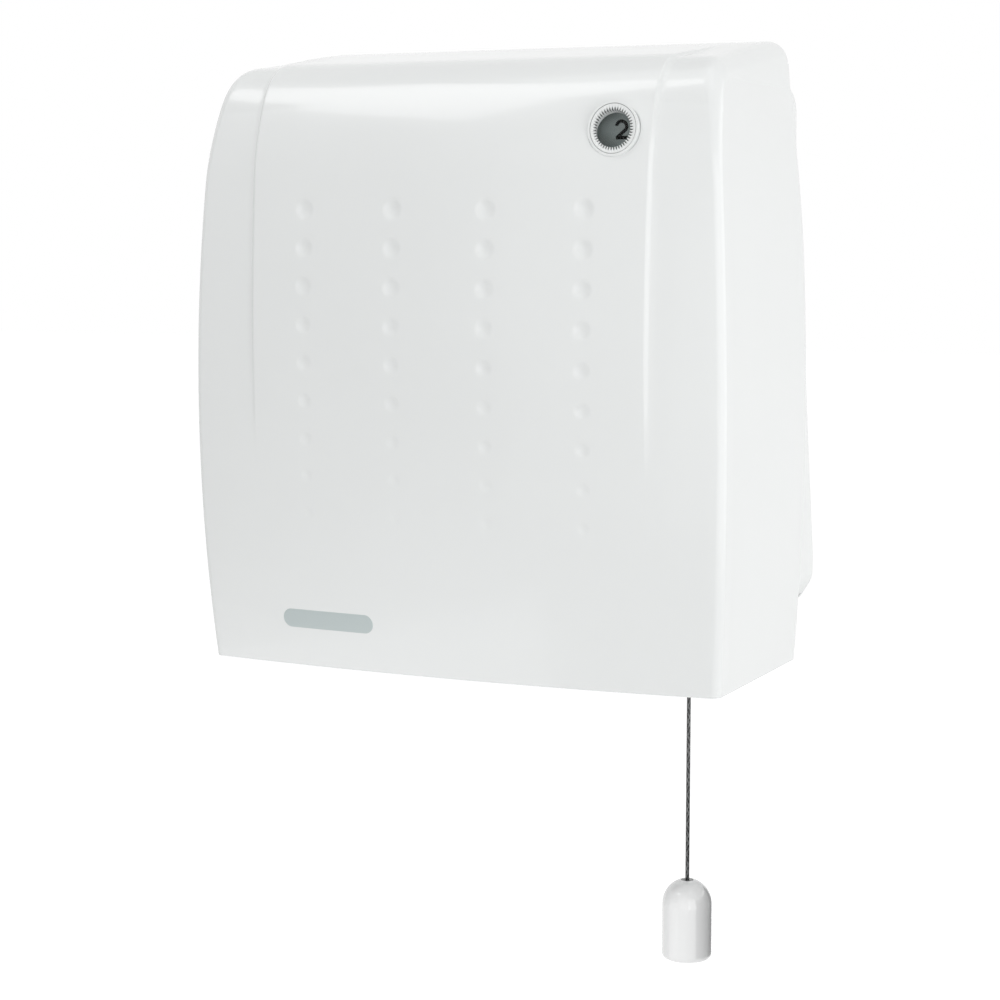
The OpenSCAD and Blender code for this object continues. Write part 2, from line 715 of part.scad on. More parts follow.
// Torsion spring round the lever's hub: one leg against the lid's post, one under the lever's peg
module return_spring() color(steel) placed() at_dial() {
    steps = 12;
    end_y = spring_y + spring_turns * spring_pitch;
    end_a = 180 + 360 * spring_turns;
    coil = [for (i = [0:spring_turns * steps]) let (a = 180 + 360 * i / steps)
        [spring_r * cos(a), spring_y + spring_pitch * i / steps, spring_r * sin(a)]];
    first = [for (z = [13, 5]) [-spring_r, spring_y, z]];
    last = [for (d = [5, 16])
        [spring_r * cos(end_a) - d * sin(end_a), end_y, spring_r * sin(end_a) + d * cos(end_a)]];
    tube(concat(first, coil, last), spring_wire_r, 6, [0, 1, 0]);
}

// Fan, motor and air duct
fan_y = 76;
fan_z = 176;
fan_r = fan_d / 2;
fan_x0 = -92;
fan_x1 = fan_x0 + fan_len;
fan_shaft_r = 2.5;
sheet_t = 1.2;

motor_plate_t = 3;
motor_x1 = duct_x0 - sheet_t - motor_plate_t;
motor_x0 = motor_x1 - 14;

module at_fan() { translate([0, fan_y, fan_z]) children(); }

module impeller() color(black_plastic) placed() at_fan() {
    for (i = [0:3]) {
        x = fan_x0 + (fan_len - 2) * i / 3;
        rotate([90, 0, 90]) translate([0, 0, x]) linear_extrude(2) difference() {
            circle(r = fan_r);
            circle(r = i == 0 || i == 3 ? fan_shaft_r : fan_r - 12);
        }
    }
    for (i = [0:fan_blades - 1]) along_x(fan_x0 + 1, fan_x1 - 1) rotate(i * 360 / fan_blades)
        translate([fan_r - 6, 0]) intersection() {
            difference() {
                translate([0, -5]) circle(r = 7.2);
                translate([0, -5]) circle(r = 6.2);
            }
            translate([-4.6, 0]) square([9.8, 5]);
        }
    for (x = [fan_x0, fan_x1 - 8]) difference() {
        rod_x(0, 0, 6, x, x + 8);
        rod_x(0, 0, fan_shaft_r, x - 1, x + 9);
    }
}

module fan_shaft() color(steel) placed() at_fan() {
    rod_x(0, 0, fan_shaft_r, motor_x0 - 5, fan_x0 + 8);
    rod_x(0, 0, fan_shaft_r, fan_x1 - 8, 67);
}

module motor_rotor() color(zinc) placed() at_fan() {
    difference() {
        rod_x(0, 0, 11, motor_x0 + 1, motor_x1 - 1);
        rod_x(0, 0, fan_shaft_r, motor_x0, motor_x1);
    }
}

module motor_core() color(steel) placed() at_fan() {
    along_x(motor_x0, motor_x1) difference() {
        translate([-24, -44]) square([48, 64]);
        circle(r = 11.5);
        translate([-12, -34]) square([24, 15]);
        for (s = [-1, 1]) translate([s * 19, 15]) circle(r = 2);
        for (s = [-1, 1]) translate([s * 19, -39]) circle(r = 2);
    }
}

module motor_winding() color(copper) placed() at_fan() {
    difference() {
        block([motor_x0 - 3, -11.6, -46], [motor_x1 + 2.4, 11.6, -19.4]);
        block([motor_x0, -20, -44], [motor_x1, 20, -34]);
    }
}

module motor_bracket() color(zinc) placed() at_fan() {
    for (x = [motor_x0 - motor_plate_t, motor_x1]) {
        boss = x < motor_x0 ? [x - 1.5, x + 1] : [x + 1, duct_x0 - 0.2];
        difference() {
            union() {
                along_x(x, x + motor_plate_t) difference() {
                    translate([-24, -16]) square([48, 36]);
                    for (s = [-1, 1]) translate([s * 19, 15]) circle(r = 2);
                }
                rod_x(0, 0, 7, boss[0], boss[1]);
            }
            rod_x(0, 0, fan_shaft_r + run_gap, x - 5, x + 9);
        }
    }
    for (s = [-1, 1]) rod_x(s * 19, 15, 2, motor_x0 - motor_plate_t - 1, duct_x0 + 0.6);
}

module end_bearing() color(brass_yellow) placed() at_fan() {
    difference() {
        rod_x(0, 0, 4.5, 59.5, 66);
        rod_x(0, 0, fan_shaft_r + run_gap, 58, 68);
    }
}

module bearing_bush() color(black_plastic) placed() at_fan() {
    difference() {
        union() {
            rod_x(0, 0, 7, 59.6, 65);
            rod_x(0, 0, 9, 59.6, duct_x1);
            rod_x(0, 0, 9, duct_x1 + sheet_t, 63.5);
        }
        rod_x(0, 0, 4.5, 58, 68);
    }
}

// Rear scroll: a spiral round the fan, then straight down to the outlet
scroll_r0 = 34;
scroll_grow = 7;
scroll_start = 82;
scroll_end = -20;
scroll_steps = 10;
function scroll_pts(t) = concat(
    [for (i = [0:scroll_steps]) let (a = scroll_start + (scroll_end - scroll_start) * i / scroll_steps)
        [fan_y, fan_z] + (scroll_r0 + t + scroll_grow * i / scroll_steps) * [cos(a), sin(a)]],
    [[104 + t, 110], [outlet_y1 - 2.5 + t, 60], [outlet_y1 - 2.5 + t, 7]]);
tongue_y = 43;
duct_ear = 6;
function back_to_front(pts) = [for (i = [len(pts) - 1:-1:0]) pts[i]];

module duct_side() {
    polygon(concat(scroll_pts(sheet_t), [[tongue_y - sheet_t, 7], [tongue_y - sheet_t, 158], [50, 206]]));
}

module air_duct() color(steel) placed() {
    difference() {
        union() {
            along_x(duct_x0, duct_x1) polygon(concat(scroll_pts(0), back_to_front(scroll_pts(sheet_t))));
            along_x(duct_x0 - sheet_t, duct_x0) duct_side();
            along_x(duct_x1, duct_x1 + sheet_t) duct_side();
            for (q = duct_ear_spots) {
                root = q[0] < 0 ? duct_x0 - sheet_t : duct_x1;
                low = q[0] < 0 ? q[0] - duct_ear : duct_x1;
                high = q[0] < 0 ? duct_x0 : q[0] + duct_ear;
                block([low, ear_post_y - sheet_t, q[1] - duct_ear], [high, ear_post_y, q[1] + duct_ear]);
                block([root, 90, q[1] - duct_ear], [root + sheet_t, ear_post_y, q[1] + duct_ear]);
            }
        }
        for (q = duct_ear_spots) rod_y(q[0], q[1], screw_r + 0.2, 110, 120);
        rod_x(fan_y, fan_z, 7, duct_x1 - 1, duct_x1 + 3);
        rod_x(fan_y, fan_z, 8, duct_x0 - 3, duct_x0 + 1);
        for (y = [fan_y - 19, fan_y + 19]) rod_x(y, fan_z + 15, 2, duct_x0 - 3, duct_x0 + 1);
    }
}

module duct_tongue() color(steel) placed() {
    along_x(duct_x0, duct_x1) {
        difference() {
            union() {
                translate([tongue_y - sheet_t, 7]) square([sheet_t, 146]);
                translate([tongue_y + 3, 153]) circle(r = 3 + sheet_t);
            }
            translate([tongue_y + 3, 153]) circle(r = 3);
            translate([tongue_y, 140]) square([12, 13]);
        }
    }
}

// Heater: mica boards carrying corrugated ribbons
board_x = [-90, -41, 8, 56];
ribbon_y = [52, 64, 76, 88];
ribbon_z = [60, 80];
module heater_frame() color(mica) placed() {
    for (i = [0:len(board_x) - 1]) along_x(board_x[i], board_x[i] + 1) difference() {
        translate([tongue_y + 1, 48]) square([outlet_y1 - 5 - tongue_y, 44]);
        if (i == 1 || i == 2) for (y = ribbon_y, z = ribbon_z)
            translate([y - 3.2, z - 5.2]) square([6.4, 10.4]);
    }
    for (y = [tongue_y, outlet_y1 - 4]) block([-91, y, 48], [58, y + 1, 92]);
}

zig_count = 48;
zig_w = (board_x[3] - board_x[0] - 1) / zig_count;
zig_high = 4.2;
function zig(i, t) = [zig_w * (i + 0.5), (i % 2 == 0 ? -zig_high : zig_high) + t];
module heater_coils() color(steel) placed() {
    length = board_x[3] - board_x[0] - 1;
    for (y = ribbon_y, z = ribbon_z) translate([board_x[0] + 1, 0, z]) along_y(y - 1.5, y + 1.5)
        polygon(concat(
            [[0, 0.25]], [for (i = [0:zig_count - 1]) zig(i, 0.25)], [[length, 0.25], [length, -0.25]],
            [for (i = [zig_count - 1:-1:0]) zig(i, -0.25)], [[0, -0.25]]));
}

module thermal_cutout() color(black_plastic) placed() {
    rod_x(72, 118, 8, duct_x1 + sheet_t, 66);
    rod_x(72, 118, 6, 66, 69);
    for (s = [-1, 1]) block([69, 72 + s * 4 - 2, 117.6], [77, 72 + s * 4 + 2, 118.4]);
}

module thermal_fuse() color(shell_white) placed() {
    y = outlet_y1 - 3.5;
    rod_x(y, 94.2, 2.2, 22, 36);
    rod_x(y, 94.2, 0.6, 10, 48);
}

module terminal_block() color(shell_white) placed() {
    difference() {
        union() {
            block([78, 116, 60], [116, 128, 74]);
            for (i = [0:2]) block([81 + 12 * i, 112, 61], [89 + 12 * i, 117, 73]);
        }
        for (i = [0:2], z = [64, 70]) rod_y(85 + 12 * i, z, 1.8, 110, 122);
        for (i = [0:2]) translate([85 + 12 * i, 122, 58]) cylinder(h = 18, r = wire_r);
    }
}

module cable_grommet() color(black_plastic) placed() {
    difference() {
        union() {
            rod_y(cable_x, cable_z, 8.5, wall_y - back_t - 2.5, wall_y - back_t);
            rod_y(cable_x, cable_z, 6, wall_y - back_t - 1, wall_y);
        }
        rod_y(cable_x, cable_z, 4.2, wall_y - 10, wall_y + 1);
    }
}

module clamp_bar() {
    translate([clamp_x[0], clamp_z - 4]) square([clamp_x[1] - clamp_x[0], 8]);
    for (x = clamp_x) translate([x, clamp_z]) circle(r = 4);
}
module cable_clamp() color(shell_white) placed() {
    difference() {
        along_y(clamp_y - 3, clamp_y) clamp_bar();
        for (x = clamp_x) rod_y(x, clamp_z, screw_r + 0.2, 110, 120);
    }
}

// Internal wires from the terminal block to the switch, the thermal cut-out and the motor
wire_r = 1.1;
wire_routes = [
    [[85, 122, 66], [85, 122, 78], [88, 118, 92], [102, 108, 130], [110, 96, 180], [106, 66, 216],
     [90, 44, 222], [81.2, 38.5, 226], [80.9, 38.5, 236]],
    [[97, 122, 66], [97, 122, 80], [95, 114, 100], [90, 92, 116], [84, 76, 118], [77, 76, 118]],
    [[109, 122, 66], [109, 122, 80], [100, 122.5, 89], [60, 123, 92], [0, 123, 92], [-70, 122.5, 92],
     [-96, 119, 94], [-105, 106, 98], [-105, 88, 102], [-105, 78, 110], [-105, 76, 120], [-105, 76, 130]]
];
module wire_loom() color(dark_grey) placed() {
    for (w = wire_routes) tube(w, wire_r, 6, [0.3, 0.2, 0.1]);
}

// Fasteners
module screw_y(x, z, head_y, tip_y) {
    difference() {
        rod_y(x, z, 3, head_y - 2.2, head_y);
        block([x - 2.2, head_y - 3, z - 0.4], [x + 2.2, head_y - 1.2, z + 0.4]);
        block([x - 0.4, head_y - 3, z - 2.2], [x + 0.4, head_y - 1.2, z + 2.2]);
    }
    rod_y(x, z, screw_r, head_y, tip_y);
}
module cover_screws() color(steel) placed() {
    for (s = [-1, 1]) translate([s * cover_screw_x, cover_screw_y, 0]) {
        translate([0, 0, -1.8]) cylinder(h = 1.8, r = 3);
        cylinder(h = 12, r = screw_r);
    }
}
module duct_screws() color(steel) placed() {
    for (q = duct_ear_spots) screw_y(q[0], q[1], ear_post_y - sheet_t, 125);
}
module switch_screws() color(steel) placed() {
    for (q = post_spots) screw_y(q[0], q[1], housing_y1 - ear_t, 62);
}
module clamp_screws() color(steel) placed() {
    for (x = clamp_x) screw_y(x, clamp_z, clamp_y - 3, 125);
}

front_cover();
window_bezel();
window_lens();
back_shell();
outlet_grille();
cord_guide();
pull_cord();
pull_knob();
cord_ferrule();
pull_lever();
pawl();
pawl_pin();
return_spring();
ratchet_wheel();
dial_shaft();
dial_disc();
switch_cam();
detent_spring();
switch_housing();
switch_lid();
contact_blades();
impeller();
fan_shaft();
motor_rotor();
motor_core();
motor_winding();
motor_bracket();
end_bearing();
bearing_bush();
air_duct();
duct_tongue();
heater_frame();
heater_coils();
thermal_cutout();
thermal_fuse();
terminal_block();
cable_grommet();
cable_clamp();
wire_loom();
cover_screws();
duct_screws();
switch_screws();
clamp_screws();
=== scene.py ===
import math

import bpy
import numpy as np
from mathutils import Matrix, Vector


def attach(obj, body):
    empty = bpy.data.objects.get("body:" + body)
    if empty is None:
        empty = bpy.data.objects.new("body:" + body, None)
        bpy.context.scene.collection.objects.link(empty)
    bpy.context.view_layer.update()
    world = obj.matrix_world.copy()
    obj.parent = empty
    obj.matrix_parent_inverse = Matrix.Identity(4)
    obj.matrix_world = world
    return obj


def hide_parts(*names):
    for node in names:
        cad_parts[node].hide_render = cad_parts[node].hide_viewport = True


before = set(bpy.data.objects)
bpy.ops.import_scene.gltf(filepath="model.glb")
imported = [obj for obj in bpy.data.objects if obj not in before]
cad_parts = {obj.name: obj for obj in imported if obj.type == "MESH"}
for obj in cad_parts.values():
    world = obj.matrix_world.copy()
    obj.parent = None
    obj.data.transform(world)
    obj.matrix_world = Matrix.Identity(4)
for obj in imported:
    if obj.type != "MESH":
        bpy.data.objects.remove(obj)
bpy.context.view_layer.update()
print("frame loaded with", len(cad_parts), "nodes")

mm, micron = 1e-3, 1e-6
collection = bpy.context.scene.collection

# The case is drawn in millimetres: x from the middle, y back from a plane 3 mm behind the front
# bottom corners, z up from the bottom edge. The row frame starts at the four wall holes.
case = dict(width=270, wallY=131, cornerOut=3, holeHeight=150, wall=2.5)


def toRow(points):
    # row point = case point less (0, wall, hole height), in metres
    return (np.asarray(points, float) - [0, case["wallY"], case["holeHeight"]]) * mm


photoView = dict(lens=86.73, sensor=36, near=0.05, far=50, place=(0.50384, -1.1657, 0.07041),
                 yaw=24.94, pitch=6.69)


def makeCamera():
    # looks along (-sin yaw cos pitch, cos yaw cos pitch, -sin pitch)
    data = bpy.data.cameras.new("photoCamera")
    data.lens = photoView["lens"]
    data.sensor_width = photoView["sensor"]
    data.clip_start = photoView["near"]
    data.clip_end = photoView["far"]
    cam = bpy.data.objects.new("photoCamera", data)
    collection.objects.link(cam)
    yaw, pitch = math.radians(photoView["yaw"]), math.radians(photoView["pitch"])
    cam.location = photoView["place"]
    cam.rotation_euler = (math.pi / 2 - pitch, 0, yaw)
    bpy.context.scene.camera = cam


makeCamera()
print("camera placed")


def makePiece(name, points, faces, body, sharp=35, uv=None):
    # mesh from an array of row points in metres and a list of faces, in which edges steeper than the
    # sharp angle stay crisp; uv is one pair for each point
    mesh = bpy.data.meshes.new(name)
    mesh.from_pydata(points.tolist(), [], faces)
    mesh.validate()
    if uv is not None:
        layer = mesh.uv_layers.new(name="lengthwise")
        loops = np.zeros(len(mesh.loops), np.int32)
        mesh.loops.foreach_get("vertex_index", loops)
        layer.data.foreach_set("uv", uv.astype(np.float32)[loops].ravel())
    mesh.polygons.foreach_set("use_smooth", np.ones(len(mesh.polygons), bool))
    mesh.set_sharp_from_angle(angle=math.radians(sharp))
    mesh.update()
    piece = bpy.data.objects.new(name, mesh)
    collection.objects.link(piece)
    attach(piece, body)
    return piece


def gridFaces(rows, cols, closeRows=False, closeCols=False, flip=False):
    # quads between neighbours of a rows x cols grid, wrapping round where it is closed
    r = np.arange(rows if closeRows else rows - 1)
    c = np.arange(cols if closeCols else cols - 1)
    r, c = np.meshgrid(r, c, indexing="ij")
    r1, c1 = (r + 1) % rows, (c + 1) % cols
    quads = np.stack([r * cols + c, r1 * cols + c, r1 * cols + c1, r * cols + c1], -1).reshape(-1, 4)
    return quads[:, ::-1] if flip else quads


def turned(profile, sides):
    # a profile of (radius, height) turned round the local Z axis: (r cos t, r sin t, h)
    t = np.arange(sides) * 2 * np.pi / sides
    r, h = profile[:, :1], profile[:, 1:]
    return np.stack([r * np.cos(t), r * np.sin(t), h + 0 * t], -1)


def arcPoints(centre, radius, start, end, count):
    # points centre + radius (cos a, sin a), a going from start to end in degrees
    a = np.radians(np.linspace(start, end, count))
    return np.stack([centre[0] + radius * np.cos(a), centre[1] + radius * np.sin(a)], -1)


def smoothStep(t):
    # 3t^2 - 2t^3 with t held between 0 and 1
    t = np.clip(t, 0, 1)
    return t * t * (3 - 2 * t)


def spaced(low, high, coarse, marks, samples=4001):
    # values from low to high whose gap is coarse, or fine within reach of a mark (place, reach, fine):
    # the running sum of step / gap counts the values passed, and is read backwards at whole numbers
    line = np.linspace(low, high, samples)
    gap = np.full(line.shape, float(coarse))
    for place, reach, fine in marks:
        gap = np.where(np.abs(line - place) < reach, np.minimum(gap, fine), gap)
    steps = np.concatenate([[0], np.cumsum((line[1] - line[0]) / gap[1:])])
    return np.interp(np.linspace(0, steps[-1], int(round(steps[-1])) + 1), steps, line)


cordSet = dict(x=93.4, y=70, top=272.434, length=384, diameter=2.0, ringGap=0.3, sides=24, strands=8,
               strandHeight=0.09, lay=7.5, stations=20)


def makeCord():
    # a straight tube whose radius is fullest where a strand lies on top, n strands running each way round:
    # r = r0 - (h / 2) (1 - max(cos n(t + w), cos n(t - w))), w turning by half a turn in each lay
    s = cordSet
    rings = int(s["length"] / s["ringGap"]) + 1
    z = np.linspace(0, -s["length"], rings)[:, None]
    t = (np.arange(s["sides"]) * 2 * np.pi / s["sides"])[None, :]
    winding = np.pi * z / s["lay"]
    eachWay = s["strands"] / 2
    left = np.cos(eachWay * (t + winding))
    right = np.cos(eachWay * (t - winding))
    r = s["diameter"] / 2 - s["strandHeight"] * (1 - np.maximum(left, right)) / 2
    points = np.stack([s["x"] + r * np.cos(t), s["y"] + r * np.sin(t), s["top"] + z + 0 * t], -1)
    cols = s["sides"]
    faces = gridFaces(rings, cols, closeCols=True).tolist()
    faces += [list(range(cols)), list(range(rings * cols - 1, (rings - 1) * cols - 1, -1))]
    uv = np.stack([t / (2 * np.pi) + 0 * r, -z / s["length"] + 0 * r], -1)
    cord = makePiece("pull_cord_braid", toRow(points.reshape(-1, 3)), faces, "cord",
                     sharp=80, uv=uv.reshape(-1, 2))
    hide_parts("pull_cord")
    down = np.linspace(0, s["length"], s["stations"] + 1)
    path = np.column_stack([0 * down + s["x"], 0 * down + s["y"], s["top"] - down])
    return cord, toRow(path).tolist()


pullCord, cordPath = makeCord()
print("cord made")

# the cover's profile is a front arc, a brow arc, a top arc and a straight roof, tangent to each other;
# lean is the profile's angle from upright, towards the wall, in degrees
cover = dict(crown=8.4, crownTop=0.1, barrel=4.4, cornerR=4, topEdgeR=11, panelStep=1.4, panelHalf=104.5,
             leanBottom=-7.2, leanFront=4.6, leanBrow=25, leanTop=83, frontR=1165, browR=100, topR=36,
             rimY=105, lipWidth=14, lipHeight=2.5, barrelZ=120, fadeLow=95, fadeHigh=170, creaseWidth=2.5,
             levelFrom=35, levelTo=85, rimBack=3, rimLow=200, rimHigh=260, rimShort=1)
coverMesh = dict(frontGap=3.4, browSteps=33, topSteps=29, roofSteps=15, filletSteps=13, shoulderSteps=10,
                 sideSteps=13, flatGap=4.2, creaseReach=2.2, creaseGap=0.36, leastFillet=0.6)
dimples = dict(columns=4, rows=9, x=-73.2, pitchX=48.6, z=77, pitchZ=18.4, ball=10, deep=1.1, shallow=0.35,
               soft=0.16, reach=6.5, fade=2, gap=1.0)
window = dict(x=84.9, z=260, hole=12.7, bore=10.3, seat=0.9, reach=15, gap=1.15)


def sinDeg(a):
    return np.sin(np.radians(a))


def cosDeg(a):
    return np.cos(np.radians(a))


def arcFrom(start, radius, fromLean, lean):
    # an arc from start, where it leans by fromLean, to a lean: y grows by R (cos fromLean - cos lean),
    # z by R (sin lean - sin fromLean)
    return np.stack([start[0] + radius * (cosDeg(fromLean) - cosDeg(lean)),
                     start[1] + radius * (sinDeg(lean) - sinDeg(fromLean))], -1)


frontFoot = np.array([-case["cornerOut"] - cover["crown"], 0.0])
frontTop = arcFrom(frontFoot, cover["frontR"], cover["leanBottom"], cover["leanFront"])
browTop = arcFrom(frontTop, cover["browR"], cover["leanFront"], cover["leanBrow"])
roofFront = arcFrom(browTop, cover["topR"], cover["leanBrow"], cover["leanTop"])


def leanAt(z):
    # lean of the skin on the front arc or the brow arc at height z, in degrees
    low = sinDeg(cover["leanBottom"]) + z / cover["frontR"]
    high = np.clip(sinDeg(cover["leanFront"]) + (z - frontTop[1]) / cover["browR"], -1, 1)
    return np.degrees(np.arcsin(np.where(z < frontTop[1], low, high)))


def profileY(z):
    # how far back the skin's middle lies at height z, on the same two arcs
    lean = leanAt(z)
    low = frontFoot[0] + cover["frontR"] * (cosDeg(cover["leanBottom"]) - cosDeg(lean))
    high = frontTop[0] + cover["browR"] * (cosDeg(cover["leanFront"]) - cosDeg(lean))
    return np.where(z < frontTop[1], low, high)


def turnAt(lean):
    # the way in which the cross-section drops at its sides, turning from 0 degrees, to the rear, on the
    # front arc to 90, down, on the roof
    return 90 * np.clip((lean - cover["leanFront"]) / (cover["leanTop"] - cover["leanFront"]), 0, 1)


def skinDrop(x, z, turn):
    # bulge (x / half width)^2 less the raised middle panel, which fades out downwards
    bulge = cover["crownTop"] + (cover["crown"] - cover["crownTop"]) * cosDeg(turn) ** 2
    panel = cover["panelStep"] * smoothStep((z - cover["fadeLow"]) / (cover["fadeHigh"] - cover["fadeLow"]))
    panel = panel * smoothStep((cover["panelHalf"] - np.abs(x)) / cover["creaseWidth"])
    return bulge * (x / (case["width"] / 2)) ** 2 - panel


def skinY(x, z):
    # how far back the front lies, without its dimples
    return profileY(z) + skinDrop(x, z, turnAt(leanAt(z)))


dimpleXs = dimples["x"] + dimples["pitchX"] * np.arange(dimples["columns"])
dimpleZs = dimples["z"] + dimples["pitchZ"] * np.arange(dimples["rows"])


def dimpleDepth(x, z):
    # a ball of radius R pressed in by d leaves c = d - rho^2 / 2R, softened to (c + sqrt(c^2 + s^2)) / 2
    depth = np.zeros(np.broadcast(x, z).shape)
    for row, zc in enumerate(dimpleZs):
        press = dimples["shallow"] + (dimples["deep"] - dimples["shallow"]) * row / (dimples["rows"] - 1)
        for xc in dimpleXs:
            rho2 = (x - xc) ** 2 + (z - zc) ** 2
            cup = press - rho2 / (2 * dimples["ball"])
            soft = (cup + np.sqrt(cup ** 2 + dimples["soft"] ** 2)) / 2
            fade = smoothStep((dimples["reach"] - np.sqrt(rho2)) / dimples["fade"])
            depth = depth + np.where(rho2 < dimples["reach"] ** 2, soft * fade, 0)
    return depth


def coverStations():
    # profile stations (y, z, lean) from the bottom edge up and over, closer together at dimples and window
    marks = [(z, dimples["reach"], dimples["gap"]) for z in dimpleZs]
    marks += [(window["z"], window["reach"], window["gap"])]
    z = spaced(cover["lipHeight"], frontTop[1], coverMesh["frontGap"], marks)
    front = arcFrom(frontFoot, cover["frontR"], cover["leanBottom"], leanAt(z))
    brow = np.linspace(cover["leanFront"], cover["leanBrow"], coverMesh["browSteps"])[1:]
    top = np.linspace(cover["leanBrow"], cover["leanTop"], coverMesh["topSteps"])[1:]
    roofLength = (cover["rimY"] - cover["rimShort"] - roofFront[0]) / sinDeg(cover["leanTop"])
    roof = roofFront + np.outer(np.linspace(0, roofLength, coverMesh["roofSteps"])[1:],
                                [sinDeg(cover["leanTop"]), cosDeg(cover["leanTop"])])
    places = np.concatenate([front, arcFrom(frontTop, cover["browR"], cover["leanFront"], brow),
                             arcFrom(browTop, cover["topR"], cover["leanBrow"], top), roof])
    leans = np.concatenate([leanAt(z), brow, top, np.full(len(roof), cover["leanTop"])])
    return np.column_stack([places, leans])


def coverRings(stations, inset, pressed):
    # one ring across the cover per station: side, fillet, shoulder, middle, and their mirror image;
    # towards the rear of the roof the sides rise level with the middle panel
    y, z, lean = stations[:, 0:1], stations[:, 1:2], stations[:, 2:3]
    turn = turnAt(lean)
    swell = cover["barrel"] * (1 - ((z - cover["barrelZ"]) / cover["barrelZ"]) ** 2)
    r = cover["cornerR"] + (cover["topEdgeR"] - cover["cornerR"]) * turn / 90 - inset
    r = np.maximum(r, coverMesh["leastFillet"])
    b = case["width"] / 2 + swell - inset - r  # where the fillet of the side begins
    a = np.linspace(0, 90, coverMesh["filletSteps"])[None, :]
    t = np.linspace(1, 0, coverMesh["shoulderSteps"])[None, 1:-1]
    crease = cover["panelHalf"] - cover["creaseWidth"] / 2
    marks = [(x, dimples["reach"], dimples["gap"]) for x in dimpleXs]
    marks += [(place, coverMesh["creaseReach"], coverMesh["creaseGap"]) for place in (-crease, crease)]
    marks += [(window["x"], window["reach"], window["gap"])]
    flat = spaced(-cover["panelHalf"], cover["panelHalf"], coverMesh["flatGap"], marks)[None, :] + 0 * b
    shoulder = cover["panelHalf"] + (b - cover["panelHalf"]) * t
    corner = b + r * cosDeg(a)
    x = np.concatenate([-corner, -shoulder, flat, shoulder[:, ::-1], corner[:, ::-1]], 1)
    fillet = r * (1 - sinDeg(a))
    extra = np.concatenate([fillet, 0 * shoulder, 0 * flat, 0 * shoulder, fillet[:, ::-1]], 1)
    beside = 1 - smoothStep((cover["panelHalf"] - np.abs(x)) / cover["creaseWidth"])
    level = smoothStep((y - cover["levelFrom"]) / (cover["levelTo"] - cover["levelFrom"]))
    drop = skinDrop(x, z, turn) + extra + inset - cover["panelStep"] * beside * level
    if pressed:
        drop = drop + dimpleDepth(x, z)
    ring = np.stack([x, y + drop * cosDeg(turn), z - drop * sinDeg(turn)], -1)
    # the side walls run straight to their rims, which lie further back below
    s = np.linspace(1, 0, coverMesh["sideSteps"])[None, :-1, None]
    back = cover["rimBack"] * smoothStep((cover["rimHigh"] - z) / (cover["rimHigh"] - cover["rimLow"]))
    rim = np.stack([0 * z, cover["rimY"] + back, 0 * z], -1)
    left = ring[:, :1] + s * (rim - ring[:, :1]) * [0, 1, 0]
    right = ring[:, -1:] + s[:, ::-1] * (rim - ring[:, -1:]) * [0, 1, 0]
    return np.concatenate([left, ring, right], 1)


# the window lies flat on the skin: it leans as the profile does and turns by the slope of the bulge
windowLean = float(leanAt(window["z"]))
windowYaw = math.degrees(math.atan(2 * cover["crown"] * window["x"] / (case["width"] / 2) ** 2))
windowPlace = np.array([window["x"], float(skinY(window["x"], window["z"])), window["z"]])
yawTurn = np.array(Matrix.Rotation(math.radians(windowYaw), 3, "Z"))
leanTurn = np.array(Matrix.Rotation(math.radians(90 - windowLean), 3, "X"))
windowAxes = yawTurn @ leanTurn  # columns: across, up the slope, out of the skin


def atWindow(points):
    return windowPlace + points @ windowAxes.T


def windowHole(rows, upCount):
    # gives the quads of the grid less those that reach into the window hole, the grid's points in the
    # window's axes with those round the hole moved onto two circles, and the points of both circles
    total, cols = rows.shape[:2]
    local = (rows - windowPlace) @ windowAxes
    gone = np.zeros((total, cols), bool)
    gone[:upCount] = np.hypot(local[:upCount, :, 0], local[:upCount, :, 1]) < window["hole"]
    gone[-upCount:] = gone[:upCount][::-1]
    quads = gridFaces(total, cols, closeRows=True, flip=True)
    cut = gone.ravel()[quads].any(1)
    local = local.reshape(-1, 3)
    outRim = np.intersect1d(quads[cut], quads[~cut])
    outRim = outRim[outRim < upCount * cols]
    outRim = outRim[np.argsort(np.arctan2(local[outRim, 1], local[outRim, 0]))]
    row, col = np.divmod(outRim, cols)
    inRim = (total - 1 - row) * cols + col
    for rim, radius in ((outRim, window["hole"]), (inRim, window["bore"])):
        xy = local[rim, :2]
        local[rim, :2] = xy * (radius / np.hypot(xy[:, 0], xy[:, 1]))[:, None]
    return quads[~cut], local, outRim, inRim


def sideRims(upCount, total, cols):
    # the strips that join both skins along the rear of the side walls, and a five-sided face at each foot
    strips, feet = [], []
    up = np.arange(upCount)
    footRows = upCount + np.array([[0, 1, 2, 3, -1]])  # foot, lip, top of the lip, inner skin, outer skin
    for side, turnRound in ((0, False), (cols - 1, True)):
        outer = (upCount - 1 - up) * cols + side
        inner = (total - upCount + up) * cols + side
        strip = np.stack([outer[:-1], inner[:-1], inner[1:], outer[1:]], -1)
        foot = footRows * cols + side
        strips.append(strip[:, ::-1] if turnRound else strip)
        feet.append(foot[:, ::-1] if turnRound else foot)
    return strips, feet


